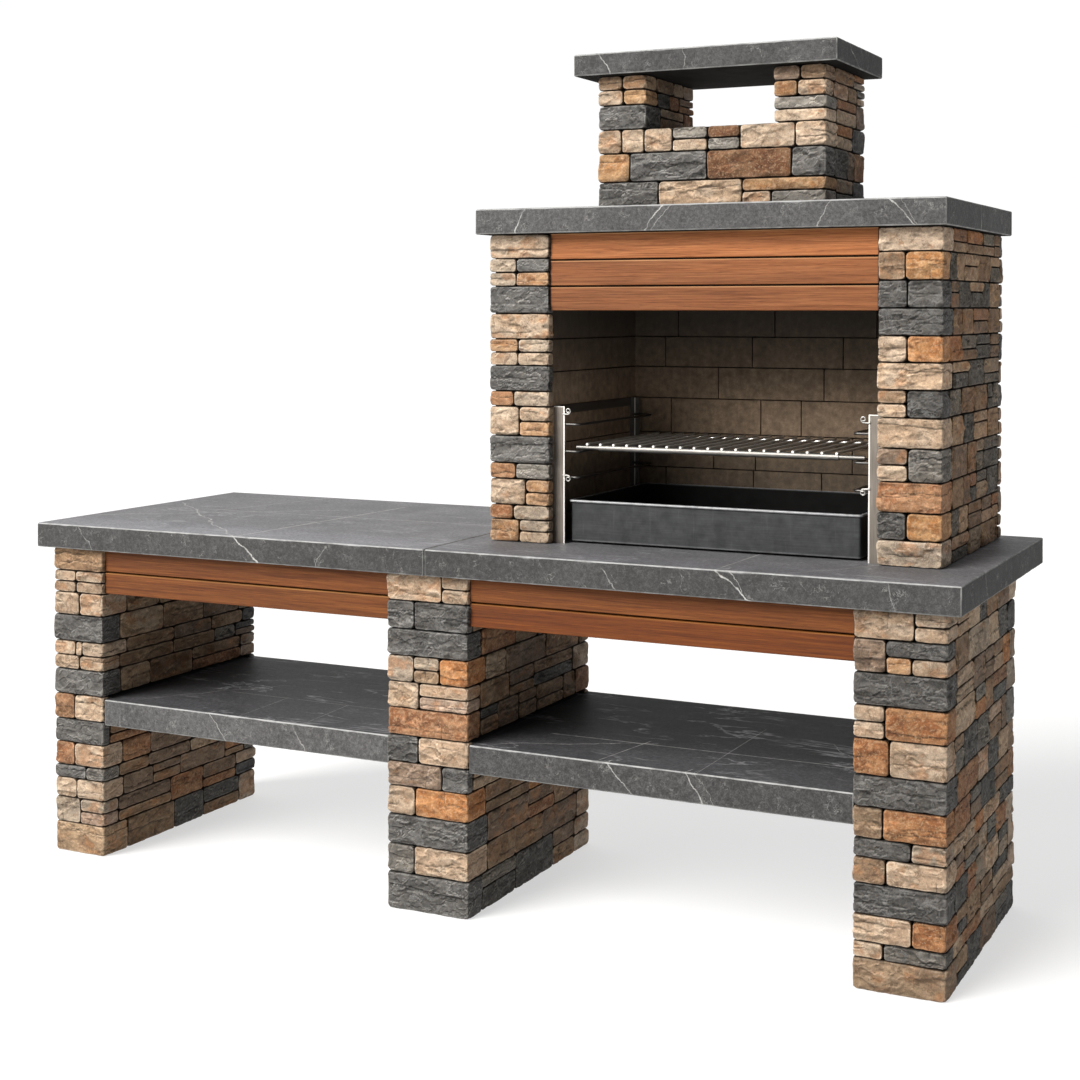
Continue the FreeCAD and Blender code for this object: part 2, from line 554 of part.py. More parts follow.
save("chimney_cap", eased(box(CAP_X[0], CAP_X[1], CAP_Y[0], CAP_Y[1], CAP_Z[0], CAP_Z[1]), EDGE_R))


# ---------------------------------------------------- side frames in the firebox
def wire_sweep(points, radii, dia):
    """Round wire along straight runs joined by tangent arcs."""
    pts = [V(p[0] - OX, p[1] - OY, p[2]) for p in points]
    edges = []
    here = pts[0]
    for k in range(1, len(pts) - 1):
        a = (pts[k - 1] - pts[k]).normalize()
        b = (pts[k + 1] - pts[k]).normalize()
        ang = a.getAngle(b)
        cut = radii[k - 1] / math.tan(ang / 2.0)
        p1, p2 = pts[k] + a * cut, pts[k] + b * cut
        bis = (a + b).normalize()
        centre = pts[k] + bis * (radii[k - 1] / math.sin(ang / 2.0))
        mid = centre - bis * radii[k - 1]
        if (p1 - here).Length > 1e-6:
            edges.append(Part.LineSegment(here, p1).toShape())
        edges.append(Part.Arc(p1, mid, p2).toShape())
        here = p2
    edges.append(Part.LineSegment(here, pts[-1]).toShape())
    path = Part.Wire(edges)
    start = (pts[1] - pts[0]).normalize()
    ring = Part.Wire(Part.makeCircle(dia / 2.0, pts[0], start))
    pipe = path.makePipeShell([ring], True, False)
    return pipe


for side, face, sgn in (("left", FB_IN[0], 1.0), ("right", FB_IN[1], -1.0)):
    def sx(a, b):
        """x range at distances a..b inboard of the lining."""
        p, q = face + sgn * a, face + sgn * b
        return min(p, q), max(p, q)
    w0, w1 = sx(0.0, UP_W)
    t0, t1 = sx(0.0, UP_T)
    for which, y in (("front", UP_YF), ("rear", UP_YR)):
        flange = box(w0, w1, y, y + UP_T, UP_Z[0], UP_Z[1])
        web = box(t0, t1, y, y + UP_W, UP_Z[0], UP_Z[1])
        save(side + "_" + which + "_upright", flange.fuse(web).removeSplitter())
    # tie rail along the top, between the two uprights, against the lining
    r0, r1 = sx(0.0, UP_T)
    save(side + "_top_rail", box(r0, r1, UP_YF + UP_W, UP_YR, UP_Z[1] - 20.0, UP_Z[1]))
    # bent-wire brackets: out of the front flange, back along the side, to the rear flange
    r = WIRE / 2.0
    yf = UP_YF + UP_T + r
    yr = UP_YR - r
    wires = []
    for z in WIRE_Z:
        xa, xb = face + sgn * 8.0, face + sgn * WIRE_IN
        wires.append(wire_sweep([(xa, yf, z), (xb, yf, z), (xb, yr, z), (xa, yr, z)], (10.0, 10.0), WIRE))
    save(side + "_grate_brackets", wires)
    # pigtail hooks on the front upright: out of the flange, then a curl, up or down
    hooks = []
    for z, way in ((1152.0, 1.0), (1011.0, -1.0)):
        xa, xb = face + sgn * (UP_W - 9.0), face + sgn * (UP_W + 18.0)
        zc = z + way * 16.0
        hooks.append(wire_sweep([(xa, UP_YF - 2.5, z), (xb, UP_YF - 2.5, z), (xb, UP_YF - 2.5, zc),
                                 (xb - sgn * 13.0, UP_YF - 2.5, zc)], (6.0, 6.0), 5.0))
    save(side + "_pigtail_hooks", hooks)

screws = []
for face, sgn in ((FB_IN[0], 1.0), (FB_IN[1], -1.0)):
    for y in (UP_YF + 16.0, UP_YR + 16.0):
        for z in (878.0, 1095.0):
            screws.append(cyl((face + sgn * UP_T, y, z), (sgn, 0, 0), 10.0, 3.5))
save("upright_screw_heads", screws)

# --------------------------------------------------------------------- grate
rod = cyl((GR_X[0], GR_Y[0], GR_Z), (1, 0, 0), GR_BAR, GR_X[1] - GR_X[0])
tube = cyl((GR_TUBE_X[0], GR_Y[0], GR_Z), (1, 0, 0), GR_TUBE, GR_TUBE_X[1] - GR_TUBE_X[0])
save("grate_front_rod", rod)
save("grate_front_tube", tube.cut(rod))
save("grate_rear_bar", cyl((GR_X[0], GR_Y[1], GR_Z), (1, 0, 0), GR_BAR, GR_X[1] - GR_X[0]))
rods = []
span = GR_ROD_X[1] - GR_ROD_X[0]
for k in range(GR_N):
    x = GR_ROD_X[0] + span * k / (GR_N - 1)
    bar = cyl((x, GR_Y[0] - 7.0, GR_Z + GR_BAR / 2 + GR_ROD / 2), (0, 1, 0), GR_ROD, GR_Y[1] - GR_Y[0] + 14.0)
    if GR_TUBE_X[0] - 4 < x < GR_TUBE_X[1] + 4:
        bar = bar.cut(tube)
    rods.append(bar)
save("grate_rods", rods)

# ---------------------------------------------------------------- ember tray
outer = box(TR_X[0], TR_X[1], TR_Y[0], TR_Y[1], TR_Z[0], TR_Z[1])
rim = box(TR_X[0] - TR_RIM, TR_X[1] + TR_RIM, TR_Y[0] - TR_RIM, TR_Y[1] + TR_RIM, TR_Z[1] - TR_T, TR_Z[1])
inner = box(TR_X[0] + TR_T, TR_X[1] - TR_T, TR_Y[0] + TR_T, TR_Y[1] - TR_T, TR_Z[0] + TR_T, TR_Z[1] + 1.0)
save("ember_tray", outer.fuse(rim).cut(inner).removeSplitter())
feet = []
for x in (TR_X[0] + 40.0, TR_X[1] - 80.0):
    for y in (TR_Y[0] + 30.0, TR_Y[1] - 70.0):
        feet.append(box(x, x + 40.0, y, y + 40.0, TOP_Z + FOOT_GAP, TR_Z[0]))
save("tray_feet", feet)
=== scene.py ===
import bpy
import math
import numpy as np
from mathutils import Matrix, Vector


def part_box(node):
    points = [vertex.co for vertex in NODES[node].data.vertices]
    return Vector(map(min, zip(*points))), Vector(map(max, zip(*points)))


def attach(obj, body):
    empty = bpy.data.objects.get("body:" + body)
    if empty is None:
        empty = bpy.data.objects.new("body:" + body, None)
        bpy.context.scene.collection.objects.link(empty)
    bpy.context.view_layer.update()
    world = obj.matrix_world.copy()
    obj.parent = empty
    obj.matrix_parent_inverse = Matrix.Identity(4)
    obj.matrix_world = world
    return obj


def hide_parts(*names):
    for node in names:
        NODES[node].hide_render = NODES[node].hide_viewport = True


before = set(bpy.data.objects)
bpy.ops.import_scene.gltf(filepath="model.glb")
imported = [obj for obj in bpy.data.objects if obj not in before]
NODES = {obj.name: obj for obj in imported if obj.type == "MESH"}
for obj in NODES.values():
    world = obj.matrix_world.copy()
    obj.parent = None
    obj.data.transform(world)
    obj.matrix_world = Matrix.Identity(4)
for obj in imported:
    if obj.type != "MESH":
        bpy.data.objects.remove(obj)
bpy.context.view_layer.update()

# ----------------------------------------------------------------- dimensions
# The same numbers as the model's (millimetres, x from the left end of the worktop,
# y from its front edge), used to lay the stones where the model has them.
TOP_L, TOP_D, TOP_Z, TOP_T = 2374.0, 842.0, 850.0, 62.0
OX, OY = TOP_L / 2.0, TOP_D / 2.0
LEG_X = ((30.0, 187.0), (1032.0, 1245.0), (2147.0, 2341.0))
LEG_Y = (28.0, 686.0)
LEG_Z = TOP_Z - TOP_T
STONE_T = 26.0
SHELF_Z, SHELF_T = 403.0, 66.0
TENON_Y = (62.0, 648.0)
LINTEL_Y = (60.0, 130.0)
LINTEL_Z = 676.0
FB_X = (1209.0, 2284.0)
FB_Y = (205.0, 790.0)
FB_IN = (1364.0, 2144.0)
FB_TOP = 1573.0
CH_X = (1466.0, 2012.0)
CH_Y = (258.0, 557.0)
CH_PIER = 120.0
CH_T = 24.0
GAP = 3.0


# --------------------------------------------------------------- stone layout
class Rng:
    def __init__(self, seed):
        self.s = (seed * 2654435761 + 97531) & 0xFFFFFFFF
        for _ in range(4):
            self.r()

    def r(self):
        self.s = (1664525 * self.s + 1013904223) & 0xFFFFFFFF
        return (self.s >> 8) / 16777216.0

    def u(self, a, b):
        return a + (b - a) * self.r()

    def pick(self, text):
        return text[int(self.r() * len(text)) % len(text)]


def zrows(marks, z_top, z_bot):
    m0, m1 = marks[0], marks[-1]
    return [z_top + (m - m0) * (z_bot - z_top) / float(m1 - m0) for m in marks]


def frame_of(face, x0, x1, y0, y1):
    return {"F": ((x0, y0), (1, 0), (0, 1)), "R": ((x1, y0), (0, 1), (-1, 0)),
            "B": ((x1, y1), (-1, 0), (0, -1)), "L": ((x0, y1), (0, -1), (1, 0))}[face]


def cells(u0, u1, za, zb, cols):
    out = []
    start = u0
    for frac, what in cols:
        end = u0 + (u1 - u0) * frac
        n = len(what)
        for k in range(n):
            top = za + (zb - za) * k / n
            low = za + (zb - za) * (k + 1) / n
            if isinstance(what, str):
                out.append((start, end, low, top, what[k]))
            else:
                out.extend(cells(start, end, top, low, what[k]))
        start = end
    return out


def put(out, wall, fr, t, path, z0, z1, code):
    o, u, w = fr
    pts = [(o[0] + u[0] * a + w[0] * b, o[1] + u[1] * a + w[1] * b) for a, b in path]
    out.append({"wall": wall, "path": pts, "t": t, "z0": z0, "z1": z1, "code": code})


def lay_face(out, wall, fr, width, t, zb, rows, ret_l, ret_r):
    for i, cols in enumerate(rows):
        for (u0, u1, low, top, code) in cells(0.0, width, zb[i], zb[i + 1], cols):
            path = []
            if u0 < 0.5:
                if ret_l[i] > 0:
                    path.append((0.0, ret_l[i]))
                path.append((0.0, 0.0))
            else:
                path.append((u0 + GAP / 2, 0.0))
            if u1 > width - 0.5:
                path.append((width, 0.0))
                if ret_r[i] > 0:
                    path.append((width, ret_r[i]))
            else:
                path.append((u1 - GAP / 2, 0.0))
            put(out, wall, fr, t, path, low + GAP / 2, top - GAP / 2, code)


def lay_side(out, wall, fr, width, t, zb, start, stop, rng, palette, lmin, lmax, keepouts):
    last = ""
    for i in range(len(zb) - 1):
        a = start[i] + GAP
        b = width - stop[i] - GAP
        u = a
        while b - u > 1.0:
            step = rng.u(lmin, lmax)
            if b - u - step < lmin * 0.8:
                step = b - u
            code = rng.pick(palette)
            if code == last:
                code = rng.pick(palette)
            last = code
            high = zb[i] - zb[i + 1]
            if high > 48.0 and rng.r() < 0.42:
                cut = rng.u(0.38, 0.62)
                mid = zb[i] - high * cut
                bits = [(zb[i], mid, code), (mid, zb[i + 1], rng.pick(palette))]
            else:
                bits = [(zb[i], zb[i + 1], code)]
            for top, low, c in bits:
                rects = [(u, u + step, low, top)]
                for (k0, k1, kl, kh) in keepouts:
                    cut_rects = []
                    for (r0, r1, rl, rh) in rects:
                        if r1 <= k0 or r0 >= k1 or rh <= kl or rl >= kh:
                            cut_rects.append((r0, r1, rl, rh))
                            continue
                        if r0 < k0:
                            cut_rects.append((r0, k0, rl, rh))
                        if r1 > k1:
                            cut_rects.append((k1, r1, rl, rh))
                        m0, m1 = max(r0, k0), min(r1, k1)
                        if rl < kl:
                            cut_rects.append((m0, m1, rl, kl))
                        if rh > kh:
                            cut_rects.append((m0, m1, kh, rh))
                    rects = cut_rects
                for (r0, r1, rl, rh) in rects:
                    if r1 - r0 < 20.0 or rh - rl < 14.0:
                        continue
                    put(out, wall, fr, t, [(r0 + GAP / 2, 0.0), (r1 - GAP / 2, 0.0)],
                        rl + GAP / 2, rh - GAP / 2, c)
            u += step


def random_rows(n, rng, palette, width, lmin, lmax):
    rows = []
    for i in range(n):
        cols = []
        u = 0.0
        while u < width - 1.0:
            step = rng.u(lmin, lmax)
            if width - u - step < lmin * 0.8:
                step = width - u
            u += step
            c = rng.pick(palette)
            if rng.r() < 0.3:
                c += rng.pick(palette)
            cols.append((min(1.0, u / width), c))
        rows.append(cols)
    return rows


def overlaps(za, zb, spans):
    return any(min(za, zb) < h and max(za, zb) > l for (l, h) in spans)


# Courses of each front, from the top down.  Letters are stone colours:
# b beige, t tan, p pinkish tan, y grey-tan, g grey, o orange, r rust, n brown,
# k brown-grey, d dark slate.  Two letters are two thin stones, one on the other.
LEG_ROWS = (
    ((50, 155, 255, 358, 478, 543, 608, 722, 838, 945, 1050, 1110, 1200, 1315, 1450),
     [[(1, "n")], [(.45, "tt"), (1, "tt")], [(.52, "t"), (1, "t")], [(1, "d")],
      [(.44, "t"), (.57, "t"), (1, "b")], [(.51, "t"), (1, "b")], [(1, "d")],
      [(.41, "r"), (1, "t")], [(1, "d")], [(.40, "r"), (1, "t")], [(.63, "d"), (1, "g")],
      [(.44, "t"), (1, "t")], [(.51, "y"), (1, "yp")], [(1, "n")]]),
    ((75, 190, 308, 420, 530, 640, 755, 868, 970, 1090, 1215, 1335, 1490),
     [[(.68, "b"), (1, "tt")], [(.335, "d"), (1, "d")], [(1, "d")],
      [(.33, "y"), (.65, "yn"), (1, "o")], [(.395, "b"), (1, "tp")], [(1, "r")],
      [(.385, "d"), (1, "t")], [(.68, "k"), (1, "d")], [(.345, "t"), (1, "o")], [(1, "d")],
      [(.335, "g"), (1, "t")], [(1, "d")]]),
    ((178, 278, 390, 500, 612, 735, 842, 948, 1012, 1100, 1205, 1297, 1352, 1460),
     [[(.645, "b"), (1, "tb")], [(.345, "k"), (1, [[(1, "d")], [(.42, "o"), (1, "b")]])],
      [(1, "d")], [(.335, "tt"), (1, "r")], [(.385, "r"), (1, "b")], [(1, "d")],
      [(.32, "n"), (1, "r")], [(.625, "d"), (1, "y")], [(.355, "n"), (1, "t")], [(1, "d")],
      [(.635, "t"), (1, "r")], [(.33, "t"), (1, "g")], [(1, "n")]]),
)
FBL_ROWS = ((90, 200, 326, 451, 567, 688, 805, 875, 1010, 1135, 1208, 1327, 1394, 1498),
            [[(1, "b")], [(.45, "yy"), (1, "do")], [(1, "d")], [(1, "b")], [(.48, "ot"), (1, "yt")],
             [(1, "d")], [(.41, "r"), (1, "y")], [(.5, "t"), (1, "to")], [(1, "d")],
             [(.44, "r"), (1, "g")], [(.61, "b"), (1, "oo")], [(.4, "r"), (1, "y")],
             [(.5, "o"), (1, "yb")]])
FBR_ROWS = ((226, 251, 280, 308, 336, 363, 391, 419, 450, 484, 515, 543, 570),
            [[(1, "b")], [(.42, "n"), (1, "o")], [(.45, "d"), (1, "d")], [(1, "d")],
             [(.45, "b"), (1, "o")], [(1, "b")], [(.45, "nt"), (1, "d")], [(1, "b")],
             [(.47, "kt"), (1, "g")], [(1, "r")], [(.45, "d"), (1, "o")], [(1, "y")]])
CH_ZB = (1935.0, 1902.0, 1867.0, 1811.0, 1756.0, 1690.0, 1632.0)
CH_LOW_ROWS = [
    [(.107, "b"), (.21, "t"), (.337, "t"), (.493, "gt"), (.635, "rg"), (.87, "t"), (1, "b")],
    [(.145, "o"), (.49, "d"), (.855, "r"), (1, "d")],
    [(.275, "d"), (.645, "b"), (1, [[(1, "o")], [(.35, "t"), (1, "g")]])]]
CH_LEFT_ROWS = [[(.5, "n"), (1, "n")], [(.52, "b"), (1, "o")], [(1, "d")]]
CH_RIGHT_ROWS = [[(.5, "k"), (1, "n")], [(.45, "o"), (1, "b")], [(1, "gt")]]
PALETTE = "tttttnnnddddrrobbyyggkp"


def stone_layout():
    out = []
    names = ("left_leg_stones", "centre_leg_stones", "right_leg_stones")
    for i in range(3):
        x0, x1 = LEG_X[i]
        y0, y1 = LEG_Y
        rng = Rng(101 + 17 * i)
        zb = zrows(LEG_ROWS[i][0], LEG_Z - 1.0, 0.0)
        zb = [z if 0 < k < len(zb) - 1 else (z + GAP / 2 if k == 0 else z - GAP / 2)
              for k, z in enumerate(zb)]
        n = len(zb) - 1
        spans = [(SHELF_Z - SHELF_T - 2, SHELF_Z + 2), (LINTEL_Z - 2, LEG_Z)]
        inner_l, inner_r = i > 0, i < 2
        ret_l, ret_r, back_l, back_r = [], [], [], []
        for k in range(n):
            hit = overlaps(zb[k], zb[k + 1], spans)
            a, b, c, d = rng.u(58, 98), rng.u(58, 98), rng.u(50, 95), rng.u(50, 95)
            ret_l.append(STONE_T if (inner_l and hit) else a)
            ret_r.append(STONE_T if (inner_r and hit) else b)
            low_hit = overlaps(zb[k], zb[k + 1], spans[:1])
            back_r.append(STONE_T if (inner_l and low_hit) else c)
            back_l.append(STONE_T if (inner_r and low_hit) else d)
        w, dep = x1 - x0, y1 - y0
        lay_face(out, names[i], frame_of("F", x0, x1, y0, y1), w, STONE_T, zb, LEG_ROWS[i][1], ret_l, ret_r)
        lay_face(out, names[i], frame_of("B", x0, x1, y0, y1), w, STONE_T, zb,
                 random_rows(n, rng, PALETTE, w, 70, 200), back_l, back_r)
        keep = [(TENON_Y[0] - 2 - y0, TENON_Y[1] + 2 - y0, SHELF_Z - SHELF_T - 2, SHELF_Z + 2),
                (LINTEL_Y[0] - 2 - y0, LINTEL_Y[1] + 2 - y0, LINTEL_Z - 2, LEG_Z + 5)]
        lo, hi = (90, 240) if inner_r else (60, 190)
        lay_side(out, names[i], frame_of("R", x0, x1, y0, y1), dep, STONE_T, zb, ret_r, back_l, rng,
                 PALETTE, lo, hi, keep if inner_r else [])
        flip = [(dep - k1, dep - k0, a, b) for (k0, k1, a, b) in keep]
        lay_side(out, names[i], frame_of("L", x0, x1, y0, y1), dep, STONE_T, zb, back_r, ret_l, rng,
                 PALETTE, 90, 240, flip if inner_l else [])
    x0, x1 = FB_X
    y0, y1 = FB_Y
    rng = Rng(211)
    zl = zrows(FBL_ROWS[0], FB_TOP, TOP_Z)
    zr = zrows(FBR_ROWS[0], FB_TOP, TOP_Z)
    zbk = zrows((0, 10, 21, 31, 42, 54, 64, 74, 86, 97, 108, 120, 131), FB_TOP, TOP_Z)
    nl, nr, nb = len(zl) - 1, len(zr) - 1, len(zbk) - 1
    rl = [rng.u(58, 95) for _ in range(nl)]
    rr = [rng.u(58, 95) for _ in range(nr)]
    thin_l, thin_r = [STONE_T] * nl, [STONE_T] * nr
    lay_face(out, "firebox_left_stones", frame_of("F", x0, FB_IN[0], y0, y1), FB_IN[0] - x0, STONE_T, zl,
             FBL_ROWS[1], rl, thin_l)
    lay_face(out, "firebox_right_stones", frame_of("F", FB_IN[1], x1, y0, y1), x1 - FB_IN[1], STONE_T, zr,
             FBR_ROWS[1], thin_r, rr)
    dep = y1 - y0
    lay_side(out, "firebox_right_stones", frame_of("R", FB_IN[1], x1, y0, y1), dep, STONE_T, zr, rr,
             [STONE_T] * nr, rng, PALETTE, 55, 165, [])
    lay_side(out, "firebox_left_stones", frame_of("L", x0, FB_IN[0], y0, y1), dep, STONE_T, zl,
             [STONE_T] * nl, rl, rng, PALETTE, 55, 165, [])
    lay_face(out, "firebox_back_stones", frame_of("B", x0, x1, y0, y1), x1 - x0, STONE_T - 2.0, zbk,
             random_rows(nb, rng, PALETTE, x1 - x0, 80, 230), [STONE_T - 2.0] * nb, [STONE_T - 2.0] * nb)
    x0, x1 = CH_X
    y0, y1 = CH_Y
    rng = Rng(307)
    w, dep = x1 - x0, y1 - y0
    zlow = list(CH_ZB[3:])
    ra, rb = [rng.u(60, 92) for _ in range(3)], [rng.u(60, 92) for _ in range(3)]
    rc, rd = [rng.u(60, 92) for _ in range(3)], [rng.u(60, 92) for _ in range(3)]
    name = "chimney_stones"
    lay_face(out, name, frame_of("F", x0, x1, y0, y1), w, CH_T, zlow, CH_LOW_ROWS, ra, rb)
    lay_face(out, name, frame_of("B", x0, x1, y0, y1), w, CH_T, zlow,
             random_rows(3, rng, PALETTE, w, 70, 190), rc, rd)
    lay_side(out, name, frame_of("R", x0, x1, y0, y1), dep, CH_T, zlow, rb, rc, rng, PALETTE, 60, 120, [])
    lay_side(out, name, frame_of("L", x0, x1, y0, y1), dep, CH_T, zlow, rd, ra, rng, PALETTE, 60, 120, [])
    zup = list(CH_ZB[:4])
    for px0, px1, rows in ((x0, x0 + CH_PIER, CH_LEFT_ROWS), (x1 - CH_PIER, x1, CH_RIGHT_ROWS)):
        ra, rb = [rng.u(55, 92) for _ in range(3)], [rng.u(55, 92) for _ in range(3)]
        rc, rd = [rng.u(55, 92) for _ in range(3)], [rng.u(55, 92) for _ in range(3)]
        lay_face(out, name, frame_of("F", px0, px1, y0, y1), CH_PIER, CH_T, zup, rows, ra, rb)
        lay_face(out, name, frame_of("B", px0, px1, y0, y1), CH_PIER, CH_T, zup,
                 random_rows(3, rng, PALETTE, CH_PIER, 55, 120), rc, rd)
        lay_side(out, name, frame_of("R", px0, px1, y0, y1), dep, CH_T, zup, rb, rc, rng, PALETTE, 60, 120, [])
        lay_side(out, name, frame_of("L", px0, px1, y0, y1), dep, CH_T, zup, rd, ra, rng, PALETTE, 60, 120, [])
    return out


# ------------------------------------------------------------- numeric noise
def _hash(ix, iy, iz, seed):
    h = (ix.astype(np.uint32) * np.uint32(374761393) + iy.astype(np.uint32) * np.uint32(668265263)
         + iz.astype(np.uint32) * np.uint32(2246822519) + np.uint32((seed * 3266489917) & 0xFFFFFFFF))
    h = (h ^ (h >> np.uint32(15))) * np.uint32(2246822519)
    h = (h ^ (h >> np.uint32(13))) * np.uint32(3266489917)
    h = h ^ (h >> np.uint32(16))
    return h.astype(np.float64) / 4294967296.0


def vnoise(x, y, seed):
    """Smooth value noise in the plane, 0 to 1."""
    x, y = np.broadcast_arrays(np.asarray(x, float), np.asarray(y, float))
    fx, fy = np.floor(x), np.floor(y)
    ix, iy = fx.astype(np.int64), fy.astype(np.int64)
    iz = np.zeros_like(ix)
    x, y = x - fx, y - fy
    u, v = x * x * x * (x * (6 * x - 15) + 10), y * y * y * (y * (6 * y - 15) + 10)
    r00, r10 = _hash(ix, iy, iz, seed), _hash(ix + 1, iy, iz, seed)
    r01, r11 = _hash(ix, iy + 1, iz, seed), _hash(ix + 1, iy + 1, iz, seed)
    return (r00 * (1 - u) + r10 * u) * (1 - v) + (r01 * (1 - u) + r11 * u) * v


def fbm(x, y, seed, octaves=3):
    """Layered noise, about -1 to 1."""
    total, amp, norm = 0.0, 1.0, 0.0
    for k in range(octaves):
        total = total + amp * (vnoise(x * 2 ** k + 17.3 * k, y * 2 ** k + 9.1 * k, seed + 31 * k) - 0.5)
        norm += amp
        amp *= 0.55
    return total / norm * 2.4


def ridge(x, y, seed):
    """Noise with sharp crests, -0.5 to 0.5."""
    return 0.5 - np.abs(2 * vnoise(x, y, seed) - 1)


def smooth(a, b, x):
    t = np.clip((x - a) / (b - a), 0.0, 1.0)
    return t * t * (3 - 2 * t)


def lin(r, g, b):
    out = []
    for c in (r, g, b):
        c = c / 255.0
        out.append(c / 12.92 if c <= 0.04045 else ((c + 0.055) / 1.055) ** 2.4)
    return np.array(out)


# main, second and accent colour of each kind of stone, as they look in the light;
# LIT is how much brighter than its own colour a front face comes out.
LIT = 1.95
STONE_COLOURS = {
    "b": (lin(206, 184, 161), lin(192, 165, 138), lin(156, 131, 108)),
    "t": (lin(193, 166, 140), lin(206, 184, 160), lin(150, 120, 94)),
    "p": (lin(191, 161, 139), lin(203, 178, 157), lin(154, 124, 105)),
    "y": (lin(170, 154, 137), lin(187, 169, 148), lin(131, 122, 113)),
    "g": (lin(112, 108, 103), lin(132, 126, 118), lin(92, 89, 85)),
    "o": (lin(180, 118, 69), lin(196, 142, 94), lin(118, 72, 44)),
    "r": (lin(158, 106, 71), lin(176, 131, 96), lin(108, 73, 52)),
    "n": (lin(150, 122, 97), lin(170, 144, 117), lin(112, 90, 71)),
    "k": (lin(131, 110, 93), lin(150, 128, 110), lin(98, 86, 76)),
    "d": (lin(86, 85, 84), lin(99, 97, 95), lin(70, 69, 68)),
}


def spaced(length, res):
    """Sample positions along an edge, closer together where the stone rounds off."""
    ends = [0.0, 0.6, 1.5, 2.8, 4.6, 7.2]
    ends = [e for e in ends if e < length / 2 - 1.2]
    a = ends[-1]
    n = max(1, int(math.ceil((length - 2 * a) / res)))
    mid = [a + (length - 2 * a) * k / n for k in range(1, n)]
    return ends + mid + [length - e for e in ends[::-1]]


